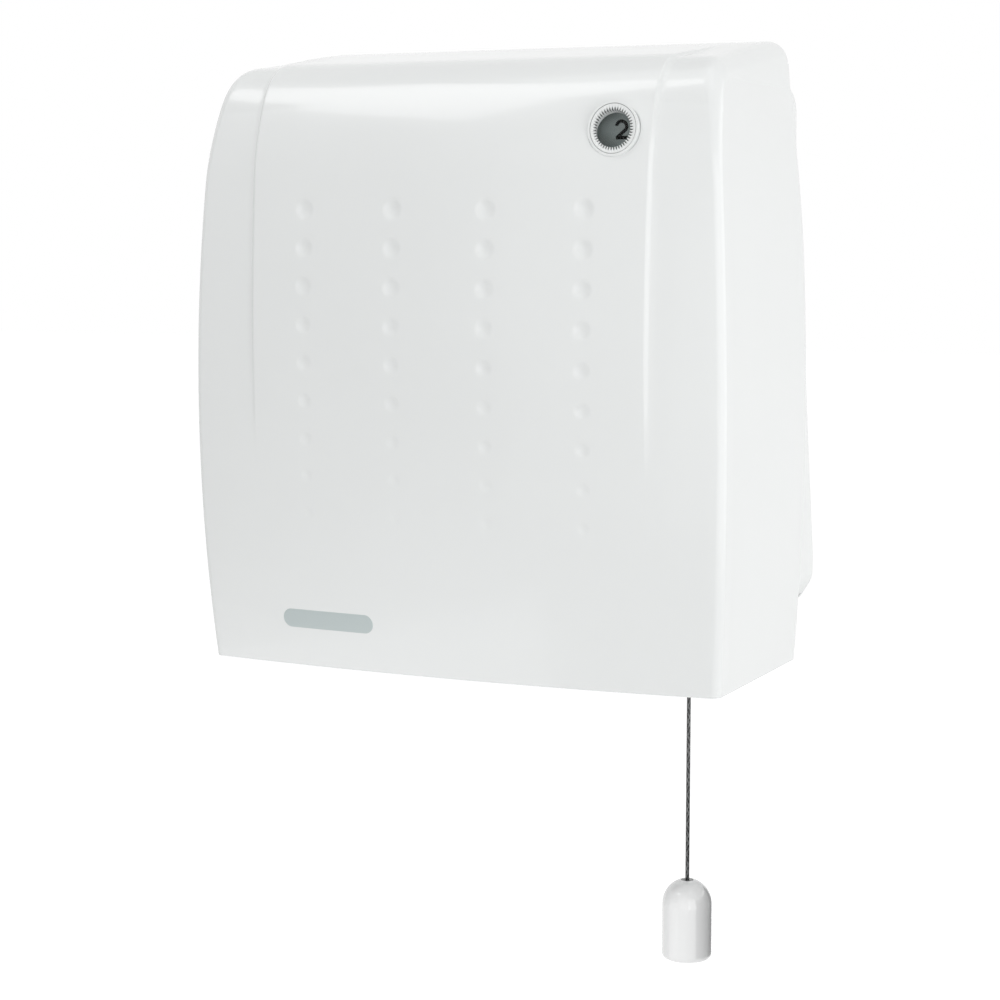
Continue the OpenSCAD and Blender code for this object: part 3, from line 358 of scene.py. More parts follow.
def makeCover():
    # two skins on one grid, joined at the bottom lip, along the rims and through the window hole
    up = coverStations()
    foot = np.array([[frontFoot[0], 0.0, cover["leanBottom"]]])
    outer = coverRings(np.concatenate([up[::-1], foot]), 0, True)
    lip = coverRings(foot, cover["lipWidth"], False)
    inner = coverRings(up, case["wall"], False)
    rows = np.concatenate([outer, lip, lip + [0, 0, cover["lipHeight"]], inner])
    total, cols = rows.shape[:2]
    quads, local, outRim, inRim = windowHole(rows, len(up))
    seat = local[outRim] * [1, 1, 0] - [0, 0, window["seat"]]  # the ledge that the window's ring lies on
    ledge = seat * [window["bore"] / window["hole"], window["bore"] / window["hole"], 1]
    count, base = len(outRim), len(local)
    loops = [outRim, base + np.arange(count), base + count + np.arange(count), inRim]
    bands = [np.stack([near, np.roll(near, -1), np.roll(far, -1), far], -1)
             for near, far in zip(loops[:-1], loops[1:])]
    strips, feet = sideRims(len(up), total, cols)
    quads, feet = np.concatenate([quads] + bands + strips), np.concatenate(feet)
    used = np.union1d(quads, feet)
    points = atWindow(np.concatenate([local, seat, ledge])[used])
    faces = np.searchsorted(used, quads).tolist() + np.searchsorted(used, feet).tolist()
    piece = makePiece("front_cover_skin", toRow(points), faces, "case", sharp=38)
    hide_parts("front_cover")
    return piece


coverPiece = makeCover()
print("cover made:", len(coverPiece.data.polygons), "faces")

bezel = dict(inner=8.4, under=-1.1, flange=0.35, crest=0.5, crestFrom=11.2, outer=12.45, seat=-0.9,
             barrel=10.2, bore=9.3, depth=-4.0, flutes=44, perFlute=12, fluteDeep=1.35, fluteEnd=10.7,
             fluteSteep=1.3, lineAt=11.15, lineWide=0.32, lineDeep=0.4, linePaintedShade=0.8, edgeDrop=0.05,
             raised=1.6, slopeUp=0.2, slopeAcross=0.06,
             steps=(8.4, 8.55, 8.8, 9.1, 9.4, 9.7, 10.0, 10.3, 10.6, 10.8, 10.95, 11.05, 11.15, 11.25,
                    11.35, 11.55, 11.9, 12.2, 12.35, 12.45))


def makeBezel():
    # a turned ring whose inner flange is cut by V flutes that deepen inwards: at flute number t their depth
    # is d(r) (k (1 - |2t - 1|) + 1 - k), held above 0; a fine round groove lies outside them; the plane
    # raised + a x + b y is added to the front, so that it stands more upright than the skin
    s = bezel
    cols = s["flutes"] * s["perFlute"]
    step = np.array(s["steps"])
    base = np.where(step < s["crestFrom"], s["flange"], s["crest"])
    base[-2:] = s["crest"] - s["edgeDrop"], s["flange"]
    line = np.clip(1 - np.abs(step - s["lineAt"]) / (s["lineWide"] / 2), 0, 1)
    t = np.arange(cols) / s["perFlute"] % 1
    wave = np.clip(s["fluteSteep"] * (1 - np.abs(2 * t - 1)) + 1 - s["fluteSteep"], 0, 1)
    reach = smoothStep((s["fluteEnd"] - step) / (s["fluteEnd"] - s["inner"]))
    cut = reach[:, None] * wave[None, :]
    top = (base - line * s["lineDeep"])[:, None] - cut * s["fluteDeep"]
    # painted shade: how far each point lies in a flute or in the fine groove, which the ring's material
    # turns dark
    dark = np.maximum(cut, line[:, None] * s["linePaintedShade"])
    below = np.array([[s["outer"], s["seat"]], [s["barrel"], s["seat"]], [s["barrel"], s["depth"]],
                      [s["bore"], s["depth"]], [s["bore"], s["under"]], [s["inner"], s["under"]]])
    plain = np.zeros((len(below), cols))
    a = np.arange(cols) * 2 * np.pi / cols
    r = np.concatenate([step, below[:, 0]])[:, None]
    x, y = r * np.cos(a), r * np.sin(a)
    h = np.concatenate([top, below[:, 1:] + plain])
    h[:len(step)] += (s["raised"] + s["slopeAcross"] * x + s["slopeUp"] * y)[:len(step)]
    shade = np.concatenate([dark, plain]).ravel()
    points = np.stack([x, y, h], -1).reshape(-1, 3)
    faces = gridFaces(len(r), cols, closeRows=True, closeCols=True).tolist()
    piece = makePiece("window_bezel_fluted", toRow(atWindow(points)), faces, "case",
                      sharp=40)
    # the groove attribute carries this painted shade to the ring's material
    groove = piece.data.attributes.new("groove", "FLOAT", "POINT")
    groove.data.foreach_set("value", shade.astype(np.float32))
    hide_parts("window_bezel")
    return piece


bezelPiece = makeBezel()
print("bezel made")

knobSet = dict(x=93.4, y=70, top=-107.4, radius=12.5, height=41.1, footR=2.8, domeFoot=-13.7, domeShift=0.4,
               domeRise=13.05, domeEnd=76, hole=3.0, holeTop=-1.33, holeEdge=0.3, holeFrom=100,
               holeWall=-1.6, holeTaper=0.3, holeDeep=6.0, core=0.02, sides=128, domeSteps=40,
               footSteps=14, barrelSteps=12, holeSteps=6, floorSteps=8)


def makeKnob():
    # a dome (shift + a cos t, b sin t) on a barrel with a rounded foot; a round hole takes the cord
    s = knobSet
    r, h = s["radius"], s["height"]
    wide, shift = r - s["domeShift"], s["domeShift"]
    dome = arcPoints((0, 0), 1, 0, s["domeEnd"], s["domeSteps"])
    dome = dome * [wide, s["domeRise"]] + [shift, s["domeFoot"]]
    foot = arcPoints((r - s["footR"], -h + s["footR"]), s["footR"], -90, 0, s["footSteps"])
    barrel = np.linspace([r, -h + s["footR"]], [r, s["domeFoot"]], s["barrelSteps"])[1:-1]
    lip = (s["hole"] + s["holeEdge"], s["holeTop"])
    edge = arcPoints(lip, s["holeEdge"], s["holeFrom"], 180, s["holeSteps"])
    holeFoot = [s["hole"] - s["holeTaper"], -s["holeDeep"]]
    hole = np.linspace([s["hole"], s["holeWall"]], holeFoot, s["holeSteps"])
    floor = np.linspace([s["core"], -h], [r - s["footR"], -h], s["floorSteps"])[:-1]
    profile = np.concatenate([floor, foot, barrel, dome, edge, hole, [[s["core"], -s["holeDeep"]]]])
    grid = turned(profile, s["sides"])
    rings = len(profile)
    faces = gridFaces(rings, s["sides"], closeCols=True, flip=True).tolist()
    last = (rings - 1) * s["sides"]
    faces += [list(range(s["sides"]))[::-1], list(range(last, last + s["sides"]))]
    points = toRow(grid.reshape(-1, 3) + [s["x"], s["y"], s["top"]])
    knob = makePiece("pull_knob_turned", points, faces, "cord", sharp=50)
    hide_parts("pull_knob")
    return knob


knobPiece = makeKnob()
print("knob made")

numbers = dict(x=68.4, z=260, ring=15.9, rise=0.35, front=-0.5, proud=0.12, sunk=0.3, height=8.7,
               width=6.3, stroke=1.5, stem=0.6, flagLeft=1.6, flagRight=0.75, flagDrop=2.0, flagTop=0.1,
               bowStart=172, bowEnd=-32, slantIn=0.1, footLeft=0.35, footRight=0.3, ovalSteps=49,
               bowSteps=22, slantSteps=8, order=(2, 0, 1, 2, 0, 1))


def strokeMesh(line, width):
    # a flat ribbon along a line in the plane: points line + and - width / 2 times its normal, square ends
    step = np.gradient(line, axis=0)
    normal = np.stack([-step[:, 1], step[:, 0]], -1) / np.hypot(step[:, 0], step[:, 1])[:, None]
    side = normal * width / 2
    ring = np.stack([line + side, line - side, line - side, line + side], 1)
    lift = np.array([numbers["proud"]] * 2 + [-numbers["sunk"]] * 2)
    grid = np.concatenate([ring, np.broadcast_to(lift[None, :, None], (len(line), 4, 1))], -1)
    faces = gridFaces(len(line), 4, closeCols=True, flip=True).tolist()
    last = 4 * (len(line) - 1)
    return grid.reshape(-1, 3), faces + [[0, 1, 2, 3], [last + 3, last + 2, last + 1, last]]


def figureLines(figure):
    # centre lines of the figures 0, 1 and 2: an oval, a stem with its flag, a bow with its foot
    s = numbers
    right, top = (s["width"] - s["stroke"]) / 2, (s["height"] - s["stroke"]) / 2
    if figure == 0:
        return [arcPoints((0, 0), 1, 0, 360, s["ovalSteps"]) * [right, top]]
    if figure == 1:
        flag = [[-s["flagLeft"], top - s["flagDrop"]], [s["flagRight"], top - s["flagTop"]]]
        return [np.array([[s["stem"], -top], [s["stem"], top]]), np.array(flag)]
    bow = arcPoints((0, top - right), right, s["bowStart"], s["bowEnd"], s["bowSteps"])
    slant = np.linspace(bow[-1], [s["slantIn"] - right, -top], s["slantSteps"])[1:]
    foot = [[-right - s["footLeft"], -top], [right + s["footRight"], -top]]
    return [np.concatenate([bow, slant]), np.array(foot)]


def makeNumbers():
    # the figures stand round the dial at equal angles, each upright once it has come to the window
    allPoints, allFaces, base = [], [], 0
    for place, figure in enumerate(numbers["order"]):
        a = 2 * math.pi * place / len(numbers["order"])
        turn = np.array([[math.cos(a), -math.sin(a)], [math.sin(a), math.cos(a)]])
        for line in figureLines(figure):
            points, faces = strokeMesh(line, numbers["stroke"])
            flat = (points[:, :2] + [numbers["ring"], numbers["rise"]]) @ turn.T
            allPoints.append(np.column_stack([numbers["x"] + flat[:, 0], numbers["front"] - points[:, 2],
                                              numbers["z"] + flat[:, 1]]))
            allFaces += [[i + base for i in f] for f in faces]
            base += len(points)
    return makePiece("dial_numbers", toRow(np.concatenate(allPoints)), allFaces, "dial")


dialNumbers = makeNumbers()
print("dial numbers made")

plate = dict(x=-64.9, z=23.8, length=51.4, height=9.2, proud=0.25, sunk=0.4, edge=0.4, edgeLift=0.35,
             rows=9, cols=60, leastReach=0.01)


def makePlate():
    # a pill with half-round ends on the skin: at a distance x from its middle it reaches sqrt(R^2 - out^2)
    # up and down, out being how far x lies in the round end; it rises smoothly from its edge
    s = plate
    u = np.cos(np.linspace(np.pi, 0, s["cols"]))
    x = u * s["length"] / 2
    straight = (s["length"] - s["height"]) / 2
    out = np.clip(np.abs(x) - straight, 0, s["height"] / 2)
    reach = np.sqrt(np.maximum((s["height"] / 2) ** 2 - out ** 2, s["leastReach"] ** 2))[:, None]
    v = np.linspace(-1, 1, s["rows"])[None, :]
    x, z = x[:, None] + 0 * v, reach * v
    rim = np.minimum(reach * (1 - np.abs(v)), s["length"] / 2 - np.abs(x))
    lift = s["proud"] * smoothStep(rim / s["edge"] + s["edgeLift"])
    x, z = x + s["x"], z + s["z"]
    y = skinY(x, z)
    front, back = np.stack([x, y - lift, z], -1), np.stack([x, y + s["sunk"], z], -1)
    grid = np.concatenate([front, back[:, ::-1]], 1)
    around = 2 * s["rows"]
    faces = gridFaces(s["cols"], around, closeCols=True).tolist()
    last = (s["cols"] - 1) * around
    faces += [list(range(around))[::-1], list(range(last, last + around))]
    return makePiece("name_plate_bare", toRow(grid.reshape(-1, 3)), faces, "case", sharp=60)


namePlate = makePlate()
print("name plate made")


class Wire:
    # a shader socket whose sums, products and powers add Math nodes to its material
    def __init__(self, tree, socket=None):
        self.tree, self.socket = tree, socket

    def node(self, kind, settings=None, inputs=None, output=0):
        # any node: its settings first, then the values or links of its sockets
        made = self.tree.nodes.new("ShaderNode" + kind)
        for name, value in (settings or {}).items():
            setattr(made, name, value)
        for name, value in (inputs or {}).items():
            if isinstance(value, Wire):
                self.tree.links.new(value.socket, made.inputs[name])
            else:
                made.inputs[name].default_value = value
        return Wire(self.tree, made.outputs[output])

    def math(self, operation, first, second=0.0):
        return self.node("Math", dict(operation=operation), {0: first, 1: second})

    def apply(self, operation, second=0.0):
        # an operation on this socket, with a second value or socket where it takes one
        return self.math(operation, self, second)

    def __add__(self, other):
        return self.math("ADD", self, other)

    def __radd__(self, other):
        return self.math("ADD", other, self)

    def __sub__(self, other):
        return self.math("SUBTRACT", self, other)

    def __rsub__(self, other):
        return self.math("SUBTRACT", other, self)

    def __mul__(self, other):
        return self.math("MULTIPLY", self, other)

    def __rmul__(self, other):
        return self.math("MULTIPLY", other, self)

    def __pow__(self, other):
        return self.math("POWER", self, other)

    def mix(self, low, high):
        # colour between low and high by this factor
        return self.node("Mix", dict(data_type="RGBA"), {0: self, 6: low, 7: high}, output=2)

    def ramp(self, low, high):
        # 0 below low, 1 above high, smooth between
        return self.node("MapRange", dict(interpolation_type="SMOOTHSTEP"), {0: self, 1: low, 2: high})

    def part(self, index):
        # x, y or z of a vector
        return self.node("SeparateXYZ", inputs={0: self}, output=index)

    def scaled(self, x, y, z):
        return self.node("Mapping", inputs={"Vector": self, "Scale": (x, y, z)})

    def noise(self, scale, detail=3.0, roughness=0.5):
        settings = {"Vector": self, "Scale": scale, "Detail": detail, "Roughness": roughness}
        return self.node("TexNoise", inputs=settings)

    def cells(self, scale):
        # one random value for each cell of a crackle pattern
        return self.node("TexVoronoi", inputs={"Vector": self, "Scale": scale}, output=1).part(0)


def newMaterial(name):
    # an empty material with one Principled shader; gives the shader, and a Wire on Object coordinates
    mat = bpy.data.materials.new(name)
    mat.use_nodes = True
    tree = mat.node_tree
    shader = tree.nodes["Principled BSDF"]
    place = Wire(tree).node("TexCoord", output=3)
    return mat, shader, place


def feed(shader, wire, socket):
    wire.tree.links.new(wire.socket, shader.inputs[socket])


def bumped(shader, height):
    # bump by a height in metres
    bump = height.node("Bump", inputs={"Height": height, "Distance": 1.0, "Strength": 1.0})
    feed(shader, bump, "Normal")


def tone(colour, factor=1.0):
    # a colour made lighter or darker, with its alpha
    return tuple(min(c * factor, 1) for c in colour) + (1,)


def spreadColour(shader, colour, low, high, wire):
    # base colour between low and high times the colour, by the wire
    feed(shader, wire.mix(tone(colour, low), tone(colour, high)), "Base Color")


# in the materials, scales count features a metre; grain, heights and depths are those of the bump, in
# microns; tones are the least and greatest factor on the colour; a ramp starts and ends at its two values
mouldSet = dict(ior=1.49, coatRough=0.06, cloudScale=9, cloudRamp=(0.3, 0.7), smearScale=34,
                smearStretch=0.35, smearLow=0.86, smearSpread=0.28, fineRough=0.04, waveScale=55,
                waveHeight=1.6)


def mouldedPlastic(name, colour, rough, spread, grain, grainScale, sheen=0.0, mirror=0.5):
    # moulded plastic: faint clouding of colour and gloss; the bump has a fine grain and slow flow waves
    s = mouldSet
    mat, shader, place = newMaterial(name)
    grain = grain * micron
    cloud = place.noise(s["cloudScale"], detail=2)
    spreadColour(shader, colour, 1 - spread, 1 + spread, cloud.ramp(*s["cloudRamp"]))
    smear = place.scaled(1, 1, s["smearStretch"]).noise(s["smearScale"], detail=3)
    fine = place.noise(grainScale, detail=2, roughness=0.6)
    feed(shader, rough * (s["smearLow"] + s["smearSpread"] * smear) + s["fineRough"] * fine, "Roughness")
    shader.inputs["IOR"].default_value = s["ior"]
    shader.inputs["Specular IOR Level"].default_value = mirror
    shader.inputs["Coat Weight"].default_value = sheen
    shader.inputs["Coat Roughness"].default_value = s["coatRough"]
    bumped(shader, fine * grain + place.noise(s["waveScale"], detail=1) * grain * s["waveHeight"])
    return mat


metalSet = dict(blotchScale=60, streakShare=0.6, blotchShare=0.4, toneRamp=(0.32, 0.68), streakLow=0.7,
                streakSpread=0.6, blotchRough=0.08)


def workedMetal(name, colour, rough, spread, grain, scale, stretch=(1, 1, 1)):
    # plated, cast or rolled metal: fine blotches, or streaks where they are stretched, carry tone, gloss
    # and bump
    s = metalSet
    mat, shader, place = newMaterial(name)
    streak = place.scaled(*stretch).noise(scale, detail=4, roughness=0.6)
    blotch = place.noise(s["blotchScale"], detail=3)
    mixed = streak * s["streakShare"] + blotch * s["blotchShare"]
    spreadColour(shader, colour, 1 - spread, 1 + spread, mixed.ramp(*s["toneRamp"]))
    shader.inputs["Metallic"].default_value = 1.0
    gloss = rough * (s["streakLow"] + s["streakSpread"] * streak)
    feed(shader, gloss + s["blotchRough"] * blotch, "Roughness")
    bumped(shader, streak * (grain * micron))
    return mat


zincSet = dict(colour=(0.6, 0.62, 0.63), crystalScale=140, tones=(0.86, 1.1), rough=0.3, crystalRough=0.22,
               grainScale=900, grain=20)


def zincSheet(name):
    # hot-dip zinc: large crystals of slightly different tone and gloss
    s = zincSet
    mat, shader, place = newMaterial(name)
    crystal = place.cells(s["crystalScale"])
    spreadColour(shader, s["colour"], *s["tones"], crystal)
    shader.inputs["Metallic"].default_value = 1.0
    feed(shader, s["rough"] + s["crystalRough"] * crystal, "Roughness")
    bumped(shader, place.noise(s["grainScale"], detail=2) * (s["grain"] * micron))
    return mat


stackSet = dict(colour=(0.35, 0.36, 0.38), rust=(0.42, 0.36, 0.3), sheetScale=2000, jointRamp=(0.36, 0.5),
                dustScale=260, sheetTone=0.8, jointTone=0.3, metal=0.75, jointMetal=0.5, rough=0.42,
                dustRough=0.25, jointDepth=120)


def stackedSteel(name):
    # motor laminations: half-millimetre sheets side by side along X, with rust-brown cut edges
    s = stackSet
    mat, shader, place = newMaterial(name)
    across = (place.part(0) * s["sheetScale"]).apply("FRACT")
    joint = (across - 0.5).apply("ABSOLUTE").ramp(*s["jointRamp"])
    dusty = place.noise(s["dustScale"], detail=3)
    body = dusty.mix(tone(s["colour"], s["sheetTone"]), tone(s["rust"]))
    feed(shader, joint.mix(body, tone(s["colour"], s["jointTone"])), "Base Color")
    feed(shader, s["metal"] - joint * s["jointMetal"], "Metallic")
    feed(shader, s["rough"] + s["dustRough"] * dusty, "Roughness")
    bumped(shader, joint * (-s["jointDepth"] * micron))
    return mat


# tones run from painted shade in the valleys between turns to painted highlight on their crests
wireSet = dict(colour=(0.6, 0.28, 0.14), turns=15700, waver=2.0, waverScale=90, tones=(0.45, 1.15),
               metal=0.6, rough=0.34, ridgeRough=0.1, lacquer=0.5, lacquerRough=0.12, ridgeHeight=120)


def woundWire(name):
    # enamelled wire: turns 0.4 mm apart wound about the vertical, with a lacquer gloss; the turns are in
    # radians a metre, and the waver in radians
    s = wireSet
    mat, shader, place = newMaterial(name)
    phase = place.part(2) * s["turns"] + place.noise(s["waverScale"], detail=1) * s["waver"]
    ridge = phase.apply("SINE") * 0.5 + 0.5
    # painted shade and highlight: the colour is darker in the valleys between turns and lighter on their
    # crests
    spreadColour(shader, s["colour"], *s["tones"], ridge)
    shader.inputs["Metallic"].default_value = s["metal"]
    feed(shader, s["rough"] - s["ridgeRough"] * ridge, "Roughness")
    shader.inputs["Coat Weight"].default_value = s["lacquer"]
    shader.inputs["Coat Roughness"].default_value = s["lacquerRough"]
    bumped(shader, ridge * (s["ridgeHeight"] * micron))
    return mat


micaSet = dict(colour=(0.62, 0.56, 0.44), flakeScale=420, flakeShare=0.6, cloudScale=70, cloudShare=0.4,
               tones=(0.72, 1.22), rough=0.35, flakeRough=0.3, flakeHeight=60)


def micaBoard(name):
    # pressed mica: overlapping flakes with different tones and a silvery glint
    s = micaSet
    mat, shader, place = newMaterial(name)
    flake = place.cells(s["flakeScale"])
    cloud = place.noise(s["cloudScale"], detail=3)
    spreadColour(shader, s["colour"], *s["tones"], flake * s["flakeShare"] + cloud * s["cloudShare"])
    feed(shader, s["rough"] + s["flakeRough"] * flake, "Roughness")
    bumped(shader, flake * (s["flakeHeight"] * micron))
    return mat


ribbonSet = dict(colour=(0.45, 0.44, 0.43), straw=(0.44, 0.33, 0.2), blue=(0.25, 0.27, 0.36), tintScale=45,
                 strawRamp=(0.35, 0.6), blueRamp=(0.55, 0.75), rough=0.3, tintRough=0.25, grainScale=800,
                 grain=30)


def heatedRibbon(name):
    # resistance ribbon: straw and blue heat tints in long patches
    s = ribbonSet
    mat, shader, place = newMaterial(name)
    tint = place.noise(s["tintScale"], detail=2)
    warm = tint.ramp(*s["strawRamp"]).mix(tone(s["colour"]), tone(s["straw"]))
    feed(shader, tint.ramp(*s["blueRamp"]).mix(warm, tone(s["blue"])), "Base Color")
    shader.inputs["Metallic"].default_value = 1.0
    feed(shader, s["rough"] + s["tintRough"] * tint, "Roughness")
    bumped(shader, place.noise(s["grainScale"], detail=2) * (s["grain"] * micron))
    return mat


braidSet = dict(colour=(0.012, 0.0125, 0.013), light=(0.16, 0.165, 0.165), seed=3.3,
                lightRamp=(0.62, 0.7), shadowRamp=(0.1, 0.9), shadowTone=0.3, rough=0.38, lightRough=0.1,
                fibreScale=2600, fibreStretch=0.3, fibreHeight=50, strandHeight=50)


def braidedCord(name):
    # braid of dark strands with a few lighter ones; the strand on top is the one whose cosine is greater,
    # as in the cord's surface, and its number picks its tone; past is a multiple of the strands each way
    # that keeps the number above 0; fine fibres lie in the bump
    s = braidSet
    mat, shader, place = newMaterial(name)
    fullTurn = 2 * math.pi
    uv = place.node("UVMap", dict(uv_map="lengthwise"))
    around, along = uv.part(0), uv.part(1)
    lays = cordSet["length"] / cordSet["lay"]
    turns = along * lays
    eachWay = cordSet["strands"] / 2
    past = eachWay * math.ceil(lays / 2)
    left = (around + turns * 0.5) * eachWay
    right = (around - turns * 0.5) * eachWay
    leftUp = (left * fullTurn).apply("COSINE")
    rightUp = (right * fullTurn).apply("COSINE")
    onTop = leftUp.apply("GREATER_THAN", rightUp)
    strand = onTop * (left + 0.5).apply("FLOOR") + (1 - onTop) * (right + (past + 0.5)).apply("FLOOR")
    number = strand.apply("MODULO", eachWay) + s["seed"]
    pick = strand.node("TexWhiteNoise", dict(noise_dimensions="1D"), {"W": number})
    light = pick.ramp(*s["lightRamp"])
    shadow = leftUp.apply("MAXIMUM", rightUp).ramp(*s["shadowRamp"])
    body = light.mix(tone(s["colour"]), tone(s["light"]))
    feed(shader, shadow.mix(tone(s["colour"], s["shadowTone"]), body), "Base Color")
    feed(shader, s["rough"] - s["lightRough"] * light, "Roughness")
    fibre = place.scaled(1, 1, s["fibreStretch"]).noise(s["fibreScale"], detail=2)
    bumped(shader, fibre * (s["fibreHeight"] * micron) + shadow * (s["strandHeight"] * micron))
    return mat


clearSet = dict(colour=(0.97, 0.985, 0.985), ior=1.16, scuffScale=500, scuffRamp=(0.55, 0.8), rough=0.02,
                scuffRough=0.05, waveScale=120, grain=10)


def clearWindow(name):
    # clear moulded disc: nearly invisible face on, brighter at a glance
    s = clearSet
    mat, shader, place = newMaterial(name)
    shader.inputs["Base Color"].default_value = tone(s["colour"])
    shader.inputs["IOR"].default_value = s["ior"]
    shader.inputs["Transmission Weight"].default_value = 1.0
    scuff = place.noise(s["scuffScale"], detail=3)
    feed(shader, s["rough"] + scuff.ramp(*s["scuffRamp"]) * s["scuffRough"], "Roughness")
    bumped(shader, place.noise(s["waveScale"], detail=1) * (s["grain"] * micron))
    return mat


dialSet = dict(colour=(0.235, 0.265, 0.26), toolMarks=9000, cloudScale=60, cloudRamp=(0.3, 0.7),
               tones=(0.88, 1.12), rough=0.45, cloudRough=0.12, ringHeight=6, grainScale=700, grain=20)


def printedDial(name):
    # grey dial plastic, turned: faint rings about the dial's own axis and a soft clouding; the tool marks
    # are in radians a metre
    s = dialSet
    mat, shader, place = newMaterial(name)
    axis = toRow([numbers["x"], 0, numbers["z"]])
    centred = place.node("Mapping", inputs={"Vector": place, "Location": (-axis[0], 0, -axis[2])})
    radius = (centred.part(0) ** 2 + centred.part(2) ** 2).apply("SQRT")
    ring = (radius * s["toolMarks"]).apply("SINE")
    cloud = place.noise(s["cloudScale"], detail=3)
    spreadColour(shader, s["colour"], *s["tones"], cloud.ramp(*s["cloudRamp"]))
    feed(shader, s["rough"] + s["cloudRough"] * cloud, "Roughness")
    fine = place.noise(s["grainScale"], detail=2)
    bumped(shader, ring * (s["ringHeight"] * micron) + fine * (s["grain"] * micron))
    return mat


# colour and ramp of the painted shade in the window ring's flutes and fine groove
paintedFluteShade = dict(shade=(0.035, 0.042, 0.042), ramp=(0.15, 0.85))


def flutedPlasticWithPaintedShade(**settings):
    # moulded plastic with painted shade: its colour darkens towards the bottoms of the grooves, marked by
    # the groove attribute
    mat = mouldedPlastic(**settings)
    shader = mat.node_tree.nodes["Principled BSDF"]
    clean = Wire(mat.node_tree, shader.inputs["Base Color"].links[0].from_socket)
    depth = clean.node("Attribute", dict(attribute_name="groove"), output=2)
    feed(shader, depth.ramp(*paintedFluteShade["ramp"]).mix(clean, tone(paintedFluteShade["shade"])), "Base Color")
    return mat


whiteShell, whiteKnob = (0.8, 0.816, 0.812), (0.92, 0.925, 0.925)
plastics = {
    # spread is how far the tone strays from the colour, and sheen the weight of a gloss coat
    "gloss_white": dict(name="glossWhite", colour=whiteShell, rough=0.2, spread=0.006, grain=12,
                        grainScale=900, sheen=0.35),
    "matt_white": dict(name="mattWhite", colour=(0.83, 0.845, 0.84), rough=0.5, spread=0.012, grain=40,
                       grainScale=1400),
    "knob_white": dict(name="knobWhite", colour=whiteKnob, rough=0.1, spread=0.006, grain=6,
                       grainScale=900, sheen=0.7),
    "dark_plastic": dict(name="darkPlastic", colour=(0.13, 0.135, 0.14), rough=0.55, spread=0.08,
                         grain=50, grainScale=1500),
    "black_plastic": dict(name="blackPlastic", colour=(0.018, 0.018, 0.019), rough=0.45, spread=0.12,
                          grain=40, grainScale=1500),
    "dial_ink": dict(name="dialInk", colour=(0.006, 0.006, 0.006), rough=0.6, spread=0.1, grain=20,
                     grainScale=1500, mirror=0.1),
    "plate_grey": dict(name="plateGrey", colour=(0.49, 0.55, 0.55), rough=0.34, spread=0.02, grain=20,
                       grainScale=1400, sheen=0.2),
    "rubber": dict(name="blackRubber", colour=(0.03, 0.03, 0.03), rough=0.75, spread=0.15, grain=60,
                   grainScale=1200),
    "wire": dict(name="wireSleeve", colour=(0.04, 0.04, 0.045), rough=0.4, spread=0.1, grain=30,
                 grainScale=1400),
}
metals = {
    "steel": dict(name="platedSteel", colour=(0.6, 0.6, 0.61), rough=0.28, spread=0.08, grain=20,
                  scale=800),
    "zinc": dict(name="castZinc", colour=(0.58, 0.59, 0.61), rough=0.42, spread=0.1, grain=40,
                 scale=420),
    "brass": dict(name="stampedBrass", colour=(0.72, 0.55, 0.26), rough=0.3, spread=0.1, grain=20,
                  scale=900, stretch=(1, 0.15, 1)),
}
finishes = {
    # the window ring's material paints shade into its flutes and fine groove
    "window_ring": flutedPlasticWithPaintedShade(name="windowRingPaintedShade", colour=whiteShell, rough=0.2, spread=0.006, grain=10,
                                 grainScale=900, sheen=0.35),
    "clear_window": clearWindow("clearWindow"),
    "dial_grey": printedDial("dialGrey"),
    "cord": braidedCord("braidedCord"),
    "lamination": stackedSteel("stackedSteel"),
    "sheet": zincSheet("zincSheet"),
    "copper": woundWire("woundWire"),
    "ribbon": heatedRibbon("heatedRibbon"),
    "mica": micaBoard("micaBoard"),
}
finishes.update((slot, mouldedPlastic(**s)) for slot, s in plastics.items())
finishes.update((slot, workedMetal(**s)) for slot, s in metals.items())


def dress(piece, finish):
    piece.data.materials.clear()
    piece.data.materials.append(finishes[finish])


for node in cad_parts.values():
    dress(node, node.data.materials[0].name.split(".")[0])
dressing = ((coverPiece, "gloss_white"), (bezelPiece, "window_ring"), (pullCord, "cord"),
            (knobPiece, "knob_white"), (dialNumbers, "dial_ink"), (namePlate, "plate_grey"))
for piece, finish in dressing:
    dress(piece, finish)
print("materials made:", len(finishes))

studio = dict(ambient=0.46, floorZ=-0.8, floorHalf=14.0, floorDark=0.79, floorLight=0.81, floorCloud=3,
              lift=0.66, aim=(0, -0.08, 0))
lamps = {
    # direction and distance from the aim, size, and the level added to a surface square to the lamp
    "keyLamp": dict(way=(-0.44, -0.4, 0.8), far=2.4, size=1.2, level=0.2),
    "skyLamp": dict(way=(0.1, -0.2, 0.95), far=2.0, size=1.6, level=0.14),
    "frontLamp": dict(way=(0.1, -0.98, 0.1), far=3.0, size=3.0, level=0.1),
    "lowLamp": dict(way=(0.25, -0.93, -0.2), far=3.0, size=2.4, level=0.11),
    "rightLamp": dict(way=(0.75, -0.65, 0.05), far=2.6, size=2.0, level=0.24),
    "sideLamp": dict(way=(0.985, -0.16, 0.04), far=2.0, size=1.4, level=0.165),
    "backLamp": dict(way=(0.85, 0.5, 0.1), far=2.4, size=1.6, level=0.18),
    "knobLamp": dict(aim=(0.09, -0.06, -0.28), way=(-0.65, -0.7, -0.1), far=0.3, size=0.25, level=0.1),
}
card = dict(x=0.0934, y=-0.061, radius=0.1, start=60, end=165, steps=25, low=-0.33, high=-0.225,
            shade=0.04, tones=(0.8, 1.2), cloudScale=400)


def rayMask(start):
    # 1 for what is seen straight, as a reflection or through glass
    kinds = ("Is Camera Ray", "Is Glossy Ray", "Is Transmission Ray")
    straight, mirrored, through = [start.node("LightPath", output=kind) for kind in kinds]
    return straight.apply("MAXIMUM", mirrored).apply("MAXIMUM", through)


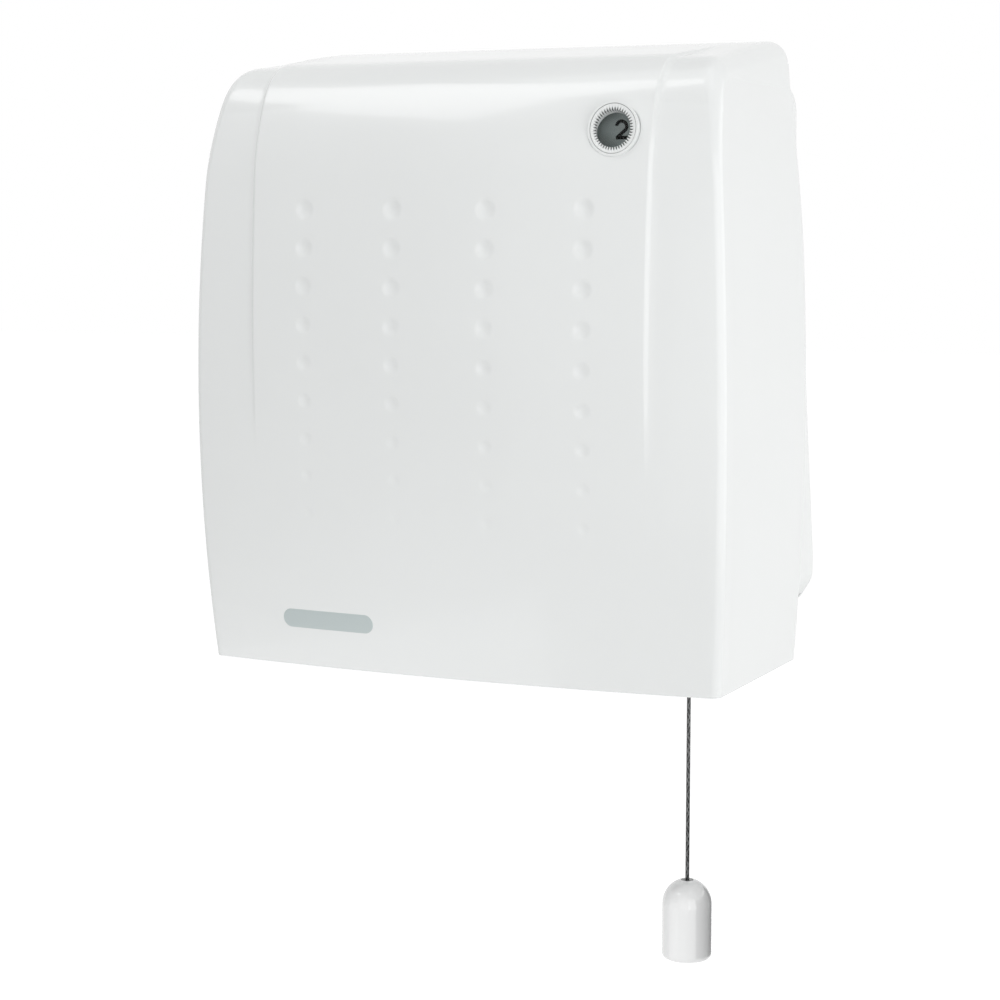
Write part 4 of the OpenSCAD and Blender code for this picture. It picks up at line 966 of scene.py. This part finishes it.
def makeWorld():
    world = bpy.data.worlds.new("studio")
    bpy.context.scene.world = world
    world.use_nodes = True
    start = Wire(world.node_tree)
    level = rayMask(start) * (1 - studio["ambient"]) + studio["ambient"]
    sky = world.node_tree.nodes["Background"]
    feed(sky, level, "Strength")
    sky.inputs["Color"].default_value = (1, 1, 1, 1)


def mattMaterial(name):
    # a material without any mirror reflection
    mat, shader, place = newMaterial(name)
    shader.inputs["Roughness"].default_value = 1.0
    shader.inputs["Specular IOR Level"].default_value = 0.0
    return mat, shader, place


def makeStage(name, points, faces, mat):
    # a sheet of the studio, not part of the heater
    mesh = bpy.data.meshes.new(name)
    mesh.from_pydata(points, [], faces)
    mesh.materials.append(mat)
    sheet = bpy.data.objects.new(name, mesh)
    collection.objects.link(sheet)
    return sheet


def makeFloor():
    # a large square; it glows a little for seen rays so that it is white, and keeps the shadow
    h, z = studio["floorHalf"], studio["floorZ"]
    mat, shader, place = mattMaterial("paleFloor")
    cloud = place.noise(studio["floorCloud"], detail=2)
    dark, light = (studio["floorDark"],) * 3, (studio["floorLight"],) * 3
    feed(shader, cloud.mix(tone(dark), tone(light)), "Base Color")
    shader.inputs["Emission Color"].default_value = (1, 1, 1, 1)
    feed(shader, rayMask(place) * studio["lift"], "Emission Strength")
    makeStage("floor", [(-h, -h, z), (h, -h, z), (h, h, z), (-h, h, z)], [(0, 1, 2, 3)], mat)


def makeLamps():
    # area lamps; power = level pi^2 distance^2 gives a square-on surface its level times its colour
    for name, s in lamps.items():
        data = bpy.data.lights.new(name, "AREA")
        data.shape = "SQUARE"
        data.size = s["size"]
        data.energy = s["level"] * math.pi ** 2 * s["far"] ** 2
        lamp = bpy.data.objects.new(name, data)
        collection.objects.link(lamp)
        way = Vector(s["way"]).normalized()
        lamp.location = Vector(s.get("aim", studio["aim"])) + way * s["far"]
        lamp.rotation_euler = way.to_track_quat("Z", "Y").to_euler()
        lamp.visible_camera = False


def makeCard():
    # a black card bent round the right of the knob, unseen by the camera, which the glossy knob mirrors as
    # its dark side: points (R sin a, -R cos a) about the cord
    s = card
    a = np.radians(np.linspace(s["start"], s["end"], s["steps"]))
    x, y = s["x"] + s["radius"] * np.sin(a), s["y"] - s["radius"] * np.cos(a)
    points = np.concatenate([np.stack([x, y, 0 * x + z], -1) for z in (s["low"], s["high"])])
    mat, shader, place = mattMaterial("cardBlack")
    spreadColour(shader, (s["shade"],) * 3, *s["tones"], place.noise(s["cloudScale"], detail=2))
    sheet = makeStage("blackCard", points.tolist(), gridFaces(2, len(a)).tolist(), mat)
    sheet.visible_camera = False


makeWorld()
makeFloor()
makeLamps()
makeCard()
print("studio made with", len(lamps), "lamps")
bpy.context.scene.view_settings.view_transform = "Standard"
